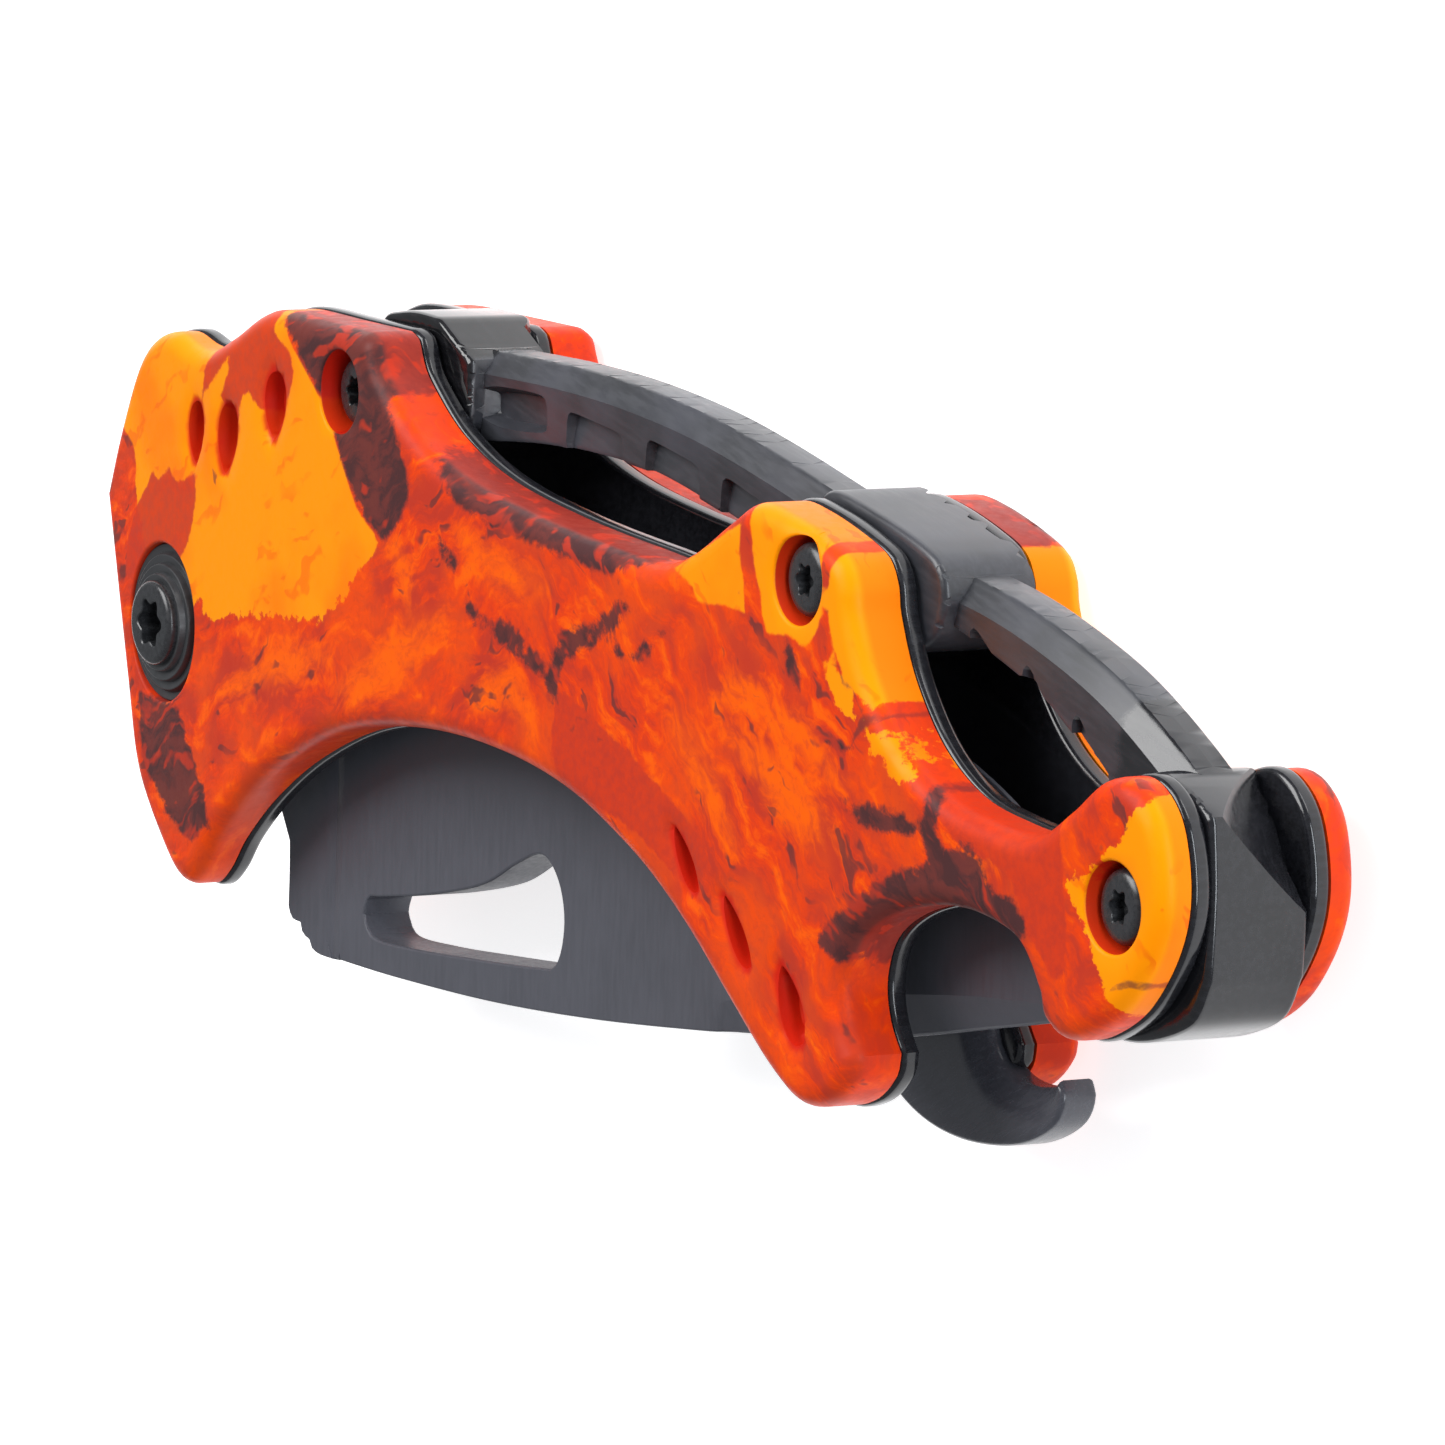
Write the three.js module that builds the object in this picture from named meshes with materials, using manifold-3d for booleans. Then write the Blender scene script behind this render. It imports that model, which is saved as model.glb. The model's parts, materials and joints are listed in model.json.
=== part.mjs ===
// Folding one-hand pocket knife with a liner lock and a bottle-opener hook, lying on its back scale.
// Millimetres. x runs from the pivot to the tail, y from the blade's side to the handle's spine and
// z up through the thickness. Every shape below is drawn about the pivot axis (x = y = 0) and the
// blade's middle plane (z = 0); the last lines move the knife so that it stands on z = 0.
import * as THREE from 'three';
import { mergeVertices } from 'three/addons/utils/BufferGeometryUtils.js';
import Module from 'manifold-3d';

const wasm = await Module();
wasm.setup();

// Layers through the thickness
const bladeThickness = 3.2;
const washerThickness = 1.5;
const linerThickness = 1.2;
const scaleThickness = 3.6;
const seam = 0.05;
const clearance = 0.4;
const linerInside = 3.2;
const linerOutside = linerInside + linerThickness;
const scaleInside = linerOutside + seam;
const scaleOutside = scaleInside + scaleThickness;

// The scales are flat between two places along x and fall away in arcs towards both ends.
const flatStart = 37;
const flatEnd = 65;
const frontFall = 0.00112;
const tailFall = 0.00078;
const scaleInset = 0.15;

// Cutting tools start or end this far from the middle, well outside the knife.
const through = 20;
const handleFront = -15;
const handleBack = 120;
const handleReach = 30;

// Fasteners
const pivotHole = 6.2;
const pivotSleeve = 5.6;
const pivotBore = 3.2;
const pivotShank = 2.8;
const discDiameter = 9.4;
const discRecess = 9.8;
const bossDiameter = 5.2;
const bossTop = 7.4;
const washerDiameter = 12;
const pivotDriver = { radius: 1.35, depth: 1.4 };
const screwHead = 4.2;
const screwHeadHeight = 1.3;
const screwShank = 2.1;
const screwWell = 5.0;
const screwDriver = { radius: 0.85, depth: 0.8 };
const threadBore = 2.5;
const threadSleeve = 4.0;
const sleeveHalf = 3.0;
const sleeveHole = 4.4;
const screwEnd = 0.3;
const pinDiameter = 2.4;
const pinHole = 2.7;
const pinCollar = 3.2;
const collarHalf = 3.1;
const pinPlace = [-5.4, 12.2];

// Body screws: place, and how far the head lies under the flat part of the scale
const bodyScrews = [
  { x: 23.9, y: 17.2, sunk: 1.3 },
  { x: 77.2, y: 13.1, sunk: 0.6 },
  { x: 108.4, y: -0.3, sunk: 1.9 },
];

// Opener and its rivets
const openerFront = -2.0;
const openerBack = -linerOutside;
const rivetDiameter = 2.2;
const rivetEnd = -6.2;
const openerRivets = [[73.5, -9.2], [79.5, -8.6]];

// Lock bar: cut from the back liner, rooted at barRoot and bent up towards the blade
const barEnd = 8.0;
const barRoot = 58;
const barTop = [3.0, 4.2];
const barNose = { bottom: -6.2, cornerX: 4.5, cornerY: -8.2 };
const barLift = THREE.MathUtils.degToRad(1.3);
const ballDiameter = 1.6;
const ballStandsOut = 0.45;
const ballPlace = [13.5, -3.5];

const roundSides = 28;
const smallSides = 20;

// Materials

function finish(color, roughness, metalness) {
  return new THREE.MeshStandardMaterial({ color, roughness, metalness });
}

const finishes = {
  scale: finish(0xe8641e, 0.42, 0.1),
  liner: finish(0x26272b, 0.22, 0.9),
  spacer: finish(0x3c3e42, 0.4, 0.2),
  blade: finish(0x58595f, 0.5, 0.9),
  screw: finish(0x2e3033, 0.35, 0.9),
  washer: finish(0xb08a4a, 0.4, 0.9),
  steel: finish(0xb8bcc2, 0.3, 1.0),
};

// Outlines. Each stretch is a smooth curve through its points; stretches meet in corners.

function smooth(points, step = 2.2) {
  const curve = new THREE.SplineCurve(points.map(([x, y]) => new THREE.Vector2(x, y)));
  const pieces = Math.max(2, Math.round(curve.getLength() / step));
  return curve.getSpacedPoints(pieces);
}

function outline(stretches, step) {
  return stretches.flatMap((points, i) => {
    const next = stretches[(i + 1) % stretches.length][0];
    return smooth([...points, next], step).slice(0, -1);
  });
}

// Moves every point of a closed outline along its normal, inwards for a positive distance.
function inset(points, distance) {
  const turn = THREE.ShapeUtils.isClockWise(points) ? 1 : -1;
  return points.map((point, i) => {
    const before = points[(i + points.length - 1) % points.length];
    const after = points[(i + 1) % points.length];
    const along = after.clone().sub(before).normalize();
    return new THREE.Vector2(point.x + along.y * distance * turn, point.y - along.x * distance * turn);
  });
}

const handleOutline = outline([
  [[-9.8, 6.8], [-8.1, 10.8], [-5.6, 15.3], [-3.2, 17.4], [-0.2, 18.1], [2.6, 17.6], [5, 17.6],
    [8.6, 19], [12.1, 20.6], [15, 21.2], [21, 21.2]],
  [[26.6, 21.2], [27.6, 20.8]],
  [[28.1, 19.9], [29.2, 18.5], [33.4, 15.8], [39.5, 13.9], [48, 12.8], [57, 12.2], [61.5, 12.1], [65, 13.2],
    [69, 15.5], [71.8, 16.9], [75, 16.7], [79, 15.8], [81.4, 14.9], [82.5, 13.4], [82.9, 11.8], [84.7, 8.5],
    [87.9, 5.3], [92, 3.3], [96.5, 2.6], [100.5, 2.6], [103.6, 4.4], [106.4, 6.4], [109.3, 6.7],
    [111.9, 4.8], [113, 1], [112.2, -2.4], [109.6, -5.8], [106.3, -7.8], [103.8, -8.4], [102, -7.5]],
  [[101.5, -6.2], [99.5, -3.9], [96, -3], [92, -3], [87.4, -4.1], [84.1, -6], [83, -8.4], [83.4, -10.6]],
  [[84.7, -12.4], [84.3, -13.9], [82.2, -15.6], [79, -16.3], [75.6, -14.9], [71.3, -12], [66.5, -8.7],
    [62, -6.2], [57.6, -4.4], [52.4, -2.8], [46, -1.8], [38.5, -1.5], [31.5, -2], [24.2, -3.4],
    [17.4, -6.1], [12.1, -9.2], [8.3, -12.3], [6.3, -14.6], [4.4, -15.8], [2, -15.2], [-1.8, -12.2],
    [-4.2, -9.2], [-6, -4.2], [-8.6, 3.3]],
]);

const openerOutline = outline([
  [[83, -6.4], [82.6, -8.6], [82.3, -11], [82.8, -12.8], [84.4, -14], [86.8, -14.3], [89, -13.9]],
  [[90.6, -13.3], [91.1, -14.4], [90, -16.1], [86.4, -17.7], [81, -18.4], [76, -17.8], [71.5, -15.6]],
  [[67.8, -12.2], [69.2, -8.6]],
  [[71, -5.6], [77, -5.2]],
], 1.6);

// Handle-sized tool shapes

function shapeOf(points, holes = []) {
  const shape = new THREE.Shape(points);
  shape.holes = holes.map((hole) => new THREE.Path(hole));
  return shape;
}

function prism(points, bottom, top) {
  const geometry = new THREE.ExtrudeGeometry(shapeOf(points), { depth: top - bottom, bevelEnabled: false });
  return geometry.translate(0, 0, bottom);
}

function rod(diameter, bottom, top, x = 0, y = 0, sides = roundSides) {
  const geometry = new THREE.CylinderGeometry(diameter / 2, diameter / 2, top - bottom, sides);
  return geometry.rotateX(Math.PI / 2).translate(x, y, (top + bottom) / 2);
}

function turned(profile, x = 0, y = 0, sides = roundSides) {
  const points = profile.map(([radius, z]) => new THREE.Vector2(radius, z));
  return new THREE.LatheGeometry(points, sides).rotateX(Math.PI / 2).translate(x, y, 0);
}

// A profile in x and z, drawn right across the handle
function crossPrism(points) {
  const settings = { depth: 2 * handleReach, bevelEnabled: false };
  const geometry = new THREE.ExtrudeGeometry(shapeOf(points), settings);
  return geometry.rotateX(Math.PI / 2).translate(0, handleReach, 0);
}

// Solids

function solid(geometry) {
  const plain = geometry.index ? geometry.toNonIndexed() : geometry.clone();
  plain.deleteAttribute('normal');
  plain.deleteAttribute('uv');
  const merged = mergeVertices(plain, 1e-4);
  return new wasm.Manifold(new wasm.Mesh({
    numProp: 3,
    vertProperties: merged.getAttribute('position').array,
    triVerts: new Uint32Array(merged.index.array),
  }));
}

function cut(body, ...tools) {
  return tools.reduce((rest, tool) => rest.subtract(tool), body);
}

function join(body, ...others) {
  return others.reduce((whole, other) => whole.add(other), body);
}

function geometryOf(body) {
  const mesh = body.getMesh();
  const geometry = new THREE.BufferGeometry();
  geometry.setAttribute('position', new THREE.BufferAttribute(mesh.vertProperties, 3));
  geometry.setIndex(new THREE.BufferAttribute(mesh.triVerts, 1));
  return geometry;
}

const knife = new THREE.Group();

function piece(name, body, material) {
  const mesh = new THREE.Mesh(geometryOf(body), material);
  mesh.name = name;
  knife.add(mesh);
  return mesh;
}

// The mirror image through the blade's middle plane, with its faces kept pointing out
function mirrored(geometry) {
  const copy = geometry.index ? geometry.toNonIndexed() : geometry.clone();
  copy.scale(1, 1, -1);
  const position = copy.getAttribute('position');
  const swap = new THREE.Vector3();
  const other = new THREE.Vector3();
  for (let i = 0; i < position.count; i += 3) {
    swap.fromBufferAttribute(position, i);
    other.fromBufferAttribute(position, i + 1);
    position.setXYZ(i, other.x, other.y, other.z);
    position.setXYZ(i + 1, swap.x, swap.y, swap.z);
  }
  return copy;
}

function placed(geometry, side) {
  return solid(side > 0 ? geometry : mirrored(geometry));
}

// Scales

function fallAt(x) {
  if (x < flatStart) return frontFall * (flatStart - x) ** 2;
  if (x > flatEnd) return tailFall * (x - flatEnd) ** 2;
  return 0;
}

// Points on the scale's outer face between two places along x
function faceLine(from, to) {
  const steps = 10;
  return Array.from({ length: steps + 1 }, (_, i) => {
    const x = THREE.MathUtils.lerp(from, to, i / steps);
    return new THREE.Vector2(x, scaleOutside - fallAt(x));
  });
}

function domeProfile() {
  const bottom = [new THREE.Vector2(handleFront, scaleInside), new THREE.Vector2(handleBack, scaleInside)];
  return [...bottom, ...faceLine(handleBack, flatEnd), ...faceLine(flatStart, handleFront)];
}

// Lens-shaped finger grooves: place, length, width, turn and depth
const grooves = [
  { x: 4.1, y: 12.3, length: 3.6, width: 1.9, turn: 85 },
  { x: 8.6, y: 12.5, length: 4.2, width: 2.5, turn: 75 },
  { x: 14.4, y: 15.3, length: 4.0, width: 2.6, turn: 85 },
  { x: 66.1, y: -4.3, length: 4.2, width: 1.5, turn: -50 },
  { x: 71.9, y: -7.5, length: 4.6, width: 1.6, turn: -50 },
  { x: 77.9, y: -10.7, length: 4.6, width: 2.4, turn: -60 },
];
const grooveDepth = 1.1;

function grooveTool({ x, y, length, width, turn }) {
  const ball = new THREE.SphereGeometry(0.5, 10, 8).scale(length, width, 2 * grooveDepth);
  const angle = THREE.MathUtils.degToRad(turn);
  return ball.rotateZ(angle).translate(x, y, scaleOutside - fallAt(x));
}

function headTop({ sunk }) {
  return scaleOutside - sunk;
}

function makeScale(side) {
  const plate = prism(inset(handleOutline, scaleInset), scaleInside, scaleOutside + 1);
  let body = placed(plate, side).intersect(placed(crossPrism(domeProfile()), side));
  body = cut(body, placed(rod(discRecess, 0, through), side));
  for (const screw of bodyScrews) {
    const floor = headTop(screw) - screwHeadHeight;
    const well = rod(screwWell, floor, through, screw.x, screw.y);
    const way = rod(threadBore, 0, through, screw.x, screw.y, smallSides);
    body = cut(body, placed(well, side), placed(way, side));
  }
  return cut(body, ...grooves.map((groove) => placed(grooveTool(groove), side)));
}

piece('front_scale', makeScale(1), finishes.scale);

const rivetHoles = openerRivets.map(([x, y]) => {
  return solid(rod(rivetDiameter + clearance, rivetEnd - 1, 0, x, y, smallSides));
});
piece('back_scale', cut(makeScale(-1), ...rivetHoles), finishes.scale);

// Liners

function linerPlate(side) {
  const body = placed(prism(handleOutline, linerInside, linerOutside), side);
  const pivotWay = solid(rod(pivotHole, -through, through));
  const pinWay = solid(rod(pinHole, -through, through, ...pinPlace));
  const screwWays = bodyScrews.map(({ x, y }) => solid(rod(threadBore, -through, through, x, y, smallSides)));
  return cut(body, pivotWay, pinWay, ...screwWays);
}

// The outline of the lock bar, and with a gap around it the window that it lies in
function barRegion(gap) {
  const [endTop, rootTop] = barTop;
  return [
    new THREE.Vector2(barEnd - gap, endTop + gap),
    new THREE.Vector2(barRoot + gap, rootTop + gap),
    new THREE.Vector2(barRoot + gap, -through),
    new THREE.Vector2(barEnd + barNose.cornerX - gap, -through),
    new THREE.Vector2(barEnd + barNose.cornerX - gap, barNose.cornerY),
    new THREE.Vector2(barEnd - gap, barNose.bottom),
  ];
}

piece('front_liner', linerPlate(1), finishes.liner);

const barWindow = solid(prism(barRegion(clearance), -through, 0));
const openerWindow = solid(prism(inset(openerOutline, -0.25), -through, 0));
piece('back_liner', cut(linerPlate(-1), barWindow, openerWindow), finishes.liner);

const ballHole = solid(rod(ballDiameter + clearance, -through, 0, ...ballPlace, smallSides));
const barPlate = placed(prism(handleOutline, linerInside, linerOutside), -1);
const barBlank = barPlate.intersect(solid(prism(barRegion(0), -through, 0)));

// Pieces on the bar are drawn flat in the liner's plane and turned together about the bar's root.
function bentUp(mesh) {
  const hinge = new THREE.Vector3(barRoot, 0, -linerOutside);
  const turn = new THREE.Matrix4().makeRotationY(barLift);
  mesh.geometry.translate(-hinge.x, 0, -hinge.z).applyMatrix4(turn).translate(hinge.x, 0, hinge.z);
}

bentUp(piece('lock_bar', cut(barBlank, ballHole), finishes.liner));
const ballHeight = ballStandsOut - linerInside - ballDiameter / 2;
const ball = new THREE.SphereGeometry(ballDiameter / 2, 14, 10).translate(...ballPlace, ballHeight);
bentUp(piece('detent_ball', solid(ball), finishes.steel));

// Blade, folded: its edge faces the spine of the handle

const bladeStations = [
  { x: 14, edge: 6.6, grind: 0.5, swedge: -17, spine: -18.9, half: 1.6, back: 1.6 },
  { x: 22, edge: 7.2, grind: 0, swedge: -17, spine: -18.8, half: 1.6, back: 1.6 },
  { x: 34, edge: 7.9, grind: -0.5, swedge: -16.6, spine: -18.3, half: 1.6, back: 1.6 },
  { x: 46, edge: 8.0, grind: -0.8, swedge: -15.8, spine: -17.3, half: 1.6, back: 1.6 },
  { x: 58, edge: 7.6, grind: -1, swedge: -14.7, spine: -15.9, half: 1.6, back: 1.6 },
  { x: 61, edge: 7.4, grind: -1.1, swedge: -13.6, spine: -15.5, half: 1.6, back: 1.1 },
  { x: 68, edge: 6.6, grind: -1.4, swedge: -12.3, spine: -14.6, half: 1.6, back: 0.7 },
  { x: 78, edge: 4.9, grind: -2.4, swedge: -10.4, spine: -12.9, half: 1.55, back: 0.6 },
  { x: 87, edge: 2.4, grind: -3.9, swedge: -9, spine: -10.9, half: 1.35, back: 0.5 },
  { x: 94, edge: -1, grind: -5.4, swedge: -8.3, spine: -9.3, half: 0.9, back: 0.4 },
  { x: 98, edge: -4.5, grind: -6.8, swedge: -7.8, spine: -8.2, half: 0.5, back: 0.3 },
  { x: 99.4, edge: -6.8, grind: -7.2, swedge: -7.6, spine: -7.8, half: 0.25, back: 0.2 },
];
const edgeHalf = 0.15;
const detentDepth = 0.5;

// A closed ring of eight points across the blade at one station
function bladeRing({ x, edge, grind, swedge, spine, half, back }) {
  const upper = [[edge, edgeHalf], [grind, half], [swedge, half], [spine, back]];
  const lower = upper.map(([y, z]) => [y, -z]).reverse();
  return [...upper, ...lower].map(([y, z]) => [x, y, z]);
}

function bladeBody() {
  const rings = bladeStations.map(bladeRing);
  const sides = rings[0].length;
  const index = [];
  for (let i = 0; i + 1 < rings.length; i += 1) {
    for (let j = 0; j < sides; j += 1) {
      const a = i * sides + j;
      const b = i * sides + (j + 1) % sides;
      index.push(a, b, a + sides, b, b + sides, a + sides);
    }
  }
  const last = (rings.length - 1) * sides;
  for (let j = 1; j + 1 < sides; j += 1) {
    index.push(0, j + 1, j);
    index.push(last, last + j, last + j + 1);
  }
  const geometry = new THREE.BufferGeometry();
  geometry.setAttribute('position', new THREE.Float32BufferAttribute(rings.flat(2), 3));
  geometry.setIndex(index);
  return geometry;
}

// The tang turns round the pivot and ends in the thumb ramp with its three steps.
const tangOutline = outline([
  [[8.2, -12.6], [8.3, -14.6]],
  [[8.3, -16.6], [8.8, -17.3]],
  [[9.9, -17.4], [10.2, -18]],
  [[11.1, -18.3], [11.5, -18.8]],
  [[12.5, -19], [14, -19]],
  [[15, -18.9], [15, -6]],
  [[15, 6.5], [11, 7.2], [7, 9.8], [3.2, 12.8], [0.6, 13.8], [-1.8, 13.6]],
  [[-3, 12.4], [-3.4, 9.5], [-5.2, 5.2], [-6.6, 1.6], [-6.7, -1.5], [-5.4, -4.4], [-2, -7.4], [2.4, -8.4],
    [6, -9.8]],
], 1.3);

const slotOutline = outline([
  [[17.9, -15.6], [18.4, -14.5], [20, -14.2], [26, -13.1], [32.2, -11.5], [36.2, -9.6], [39.2, -8.6],
    [41.2, -9.9], [42, -12.3], [41.2, -14.8], [38.6, -15.4], [30.2, -16.2], [24, -16.7], [19.2, -16.8]],
], 1.6);

function makeBlade() {
  const half = bladeThickness / 2;
  const tang = solid(prism(tangOutline, -half, half));
  const whole = join(solid(bladeBody()), tang);
  const dimple = ballDiameter + clearance;
  const detent = solid(rod(dimple, -half - 1, -half + detentDepth, ...ballPlace, smallSides));
  const slot = solid(prism(slotOutline, -through, through));
  return cut(whole, slot, solid(rod(pivotHole, -through, through)), detent);
}

piece('blade', makeBlade(), finishes.blade);

// Back spacer: one arched bar with bosses where the body screws pass

const beamHalf = 2.2;
const beamRidge = 1.1;
const beamStep = 0.9;
const beamOutline = outline([
  [[20, 18.6], [24, 20.2], [33, 20.4], [39.5, 20.5], [47, 20.3], [55, 19.6], [62, 18.5], [70, 16.9],
    [80, 14.8], [88.5, 13.6], [94.4, 12.3], [100.2, 10.5], [106, 7.8]],
  [[111.5, 4.6], [106, 0]],
  [[101.8, 4.6], [97, 7.2], [92.6, 9.2], [84, 11.4], [76, 12.4], [66, 12.9], [60.6, 14.1], [53, 15.4],
    [48, 15.8], [40, 15.8], [33, 15.2], [26, 14.4]],
  [[20.4, 14], [19.6, 16.4]],
]);
const frontBoss = outline([
  [[19.4, 14.3], [19.2, 17.6], [20.6, 20], [23.6, 20.9]],
  [[24.5, 21.8], [26.4, 22], [28.8, 21.5], [30.4, 20.3], [31, 18.6], [31.2, 15.6]],
  [[29.2, 13.6], [24, 13]],
]);
const middleBoss = outline([
  [[71, 16.4], [72.6, 17.4], [77, 16.8], [82, 15.7], [84.4, 14.6], [85, 12.6], [83.4, 10.2], [79.6, 9.2],
    [75, 9.6], [72, 12.2]],
]);
const tailBoss = outline([
  [[101.9, 4.2], [104.4, 6.2], [107.2, 7.4], [110.4, 6.6], [112.4, 4.4], [113.2, 1], [112.6, -2.6],
    [110.4, -5.8], [107, -7.8], [104.2, -8.4]],
  [[102.2, -7.6], [101.9, -3], [102, 0.6]],
]);

// Pockets sunk into both sides of the beam and open at its lower edge: start, end, top and the top's fall
const pockets = [
  [34.5, 39.5, 17.2, 0.5], [41.2, 48, 17.8, 0.5], [50.4, 56.8, 17.3, 0.5], [59, 64, 16.2, 0.5],
  [86, 90.5, 11.5, 2], [91.6, 95.6, 10.2, 2], [96.8, 101, 8.2, 2],
];
const pocketDepth = 0.9;
const pocketHeight = 4.2;
const pocketLean = 0.4;

function pocketTool([start, end, top, fall], side) {
  const points = [
    new THREE.Vector2(start, top - pocketHeight),
    new THREE.Vector2(start + pocketLean, top),
    new THREE.Vector2(end - pocketLean, top - fall),
    new THREE.Vector2(end, top - pocketHeight - fall),
  ];
  return placed(prism(points, beamHalf - pocketDepth, beamHalf + 1), side);
}

// The beam is a broad bar with a narrower ridge standing out all round it.
function beamBody() {
  const lower = solid(prism(inset(beamOutline, beamStep), -beamHalf, beamHalf));
  const ridge = solid(prism(beamOutline, -beamRidge, beamRidge));
  return join(lower, ridge);
}

function makeSpacer() {
  const reach = linerInside - seam;
  const bosses = [frontBoss, middleBoss, tailBoss].map((points) => solid(prism(points, -reach, reach)));
  const holes = bodyScrews.map(({ x, y }) => solid(rod(sleeveHole, -through, through, x, y, smallSides)));
  const tools = pockets.flatMap((pocket) => [pocketTool(pocket, 1), pocketTool(pocket, -1)]);
  return cut(join(cut(beamBody(), ...tools), ...bosses), ...holes);
}

piece('back_spacer', makeSpacer(), finishes.spacer);

// Opener

const openerPlate = solid(prism(openerOutline, openerBack, openerFront));
piece('opener_hook', cut(openerPlate, ...rivetHoles), finishes.liner);
openerRivets.forEach(([x, y], i) => {
  const rivet = solid(rod(rivetDiameter, rivetEnd, openerFront, x, y, smallSides));
  piece(`opener_rivet_${i + 1}`, rivet, finishes.steel);
});

// Pivot: a flanged sleeve from the back, a screw from the front and a stepped cover disc

const lobes = 6;
const lobeDepth = 0.14;

// A six-lobed driver recess
function driverRecess(radius, bottom, top, x = 0, y = 0) {
  const points = [];
  const count = lobes * 4;
  for (let i = 0; i < count; i += 1) {
    const angle = (i / count) * 2 * Math.PI;
    const reach = radius * (1 + lobeDepth * Math.cos(lobes * angle));
    points.push(new THREE.Vector2(x + reach * Math.cos(angle), y + reach * Math.sin(angle)));
  }
  return solid(prism(points, bottom, top));
}

// Radius and height of each step of the cover disc
const discSteps = [[discDiameter / 2, 5.6], [4.1, 6.0], [3.5, 6.4], [2.9, 6.8]];

function stepProfile(steps, bottom, bore) {
  const profile = [[bore / 2, bottom], [steps[0][0], bottom]];
  steps.forEach(([radius, z], i) => {
    profile.push([radius, z]);
    if (i + 1 < steps.length) profile.push([steps[i + 1][0], z]);
  });
  profile.push([bore / 2, steps[steps.length - 1][1]], [bore / 2, bottom]);
  return profile;
}

const coverDisc = turned(stepProfile(discSteps, scaleInside, bossDiameter + clearance));
piece('pivot_cover_disc', solid(coverDisc), finishes.screw);

const edgeBevel = 0.3;
const shankEnd = -1;
const headBottom = linerOutside + 0.2;
const pivotHead = turned([
  [0, shankEnd],
  [pivotShank / 2, shankEnd],
  [pivotShank / 2, headBottom],
  [bossDiameter / 2, headBottom],
  [bossDiameter / 2, bossTop - edgeBevel],
  [bossDiameter / 2 - edgeBevel, bossTop],
  [0, bossTop],
]);
const frontDriver = driverRecess(pivotDriver.radius, bossTop - pivotDriver.depth, through);
piece('pivot_screw', cut(solid(pivotHead), frontDriver), finishes.screw);

const boreEnd = -1.6;
const flangeTop = -scaleInside;
const flangeBottom = -6.1;
const sleeve = turned([
  [pivotBore / 2, boreEnd],
  [0, boreEnd],
  [0, flangeBottom],
  [discDiameter / 2 - edgeBevel, flangeBottom],
  [discDiameter / 2, flangeBottom + edgeBevel],
  [discDiameter / 2, flangeTop],
  [pivotSleeve / 2, flangeTop],
  [pivotSleeve / 2, linerOutside],
  [pivotBore / 2, linerOutside],
  [pivotBore / 2, boreEnd],
]);
const backDriver = driverRecess(pivotDriver.radius, -through, flangeBottom + pivotDriver.depth);
piece('pivot_sleeve', cut(solid(sleeve), backDriver), finishes.screw);

// Washers on both sides of the tang

function washer(side) {
  const near = bladeThickness / 2 + seam;
  const ring = placed(rod(washerDiameter, near, near + washerThickness), side);
  return cut(ring, solid(rod(pivotHole, -through, through)));
}

piece('front_washer', washer(1), finishes.washer);
piece('back_washer', washer(-1), finishes.washer);

// Stop pin, with a collar between the liners

const pinProfile = [
  [0, -linerOutside],
  [pinDiameter / 2, -linerOutside],
  [pinDiameter / 2, -collarHalf],
  [pinCollar / 2, -collarHalf],
  [pinCollar / 2, collarHalf],
  [pinDiameter / 2, collarHalf],
  [pinDiameter / 2, linerOutside],
  [0, linerOutside],
];
piece('stop_pin', solid(turned(pinProfile, ...pinPlace, smallSides)), finishes.steel);

// Body screws from both sides into threaded sleeves inside the spacer

function bodyScrew(screw, side) {
  const top = headTop(screw);
  const under = top - screwHeadHeight + seam;
  const rim = screwHead / 2;
  const profile = [
    [0, screwEnd],
    [screwShank / 2, screwEnd],
    [screwShank / 2, under],
    [rim, under],
    [rim, top - 0.6],
    [rim - 0.45, top - 0.15],
    [rim - 0.8, top],
    [0, top],
  ];
  const blank = placed(turned(profile, screw.x, screw.y, smallSides), side);
  const floor = side * (top - screwDriver.depth);
  const low = Math.min(floor, side * through);
  const high = Math.max(floor, side * through);
  return cut(blank, driverRecess(screwDriver.radius, low, high, screw.x, screw.y));
}

bodyScrews.forEach((screw, i) => {
  const tube = cut(
    solid(rod(threadSleeve, -sleeveHalf, sleeveHalf, screw.x, screw.y, smallSides)),
    solid(rod(threadBore, -through, through, screw.x, screw.y, smallSides)),
  );
  piece(`spacer_sleeve_${i + 1}`, tube, finishes.steel);
  piece(`front_screw_${i + 1}`, bodyScrew(screw, 1), finishes.screw);
  piece(`back_screw_${i + 1}`, bodyScrew(screw, -1), finishes.screw);
});

// Stands the knife on its back scale with the origin under the middle of its box.
const box = new THREE.Box3().setFromObject(knife);
const middle = box.getCenter(new THREE.Vector3());
knife.position.set(-middle.x, -middle.y, -box.min.z);

export default knife;
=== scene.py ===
import json
import math

import bpy
import numpy as np
from mathutils import Matrix, Vector
from mathutils.geometry import delaunay_2d_cdt


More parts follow.
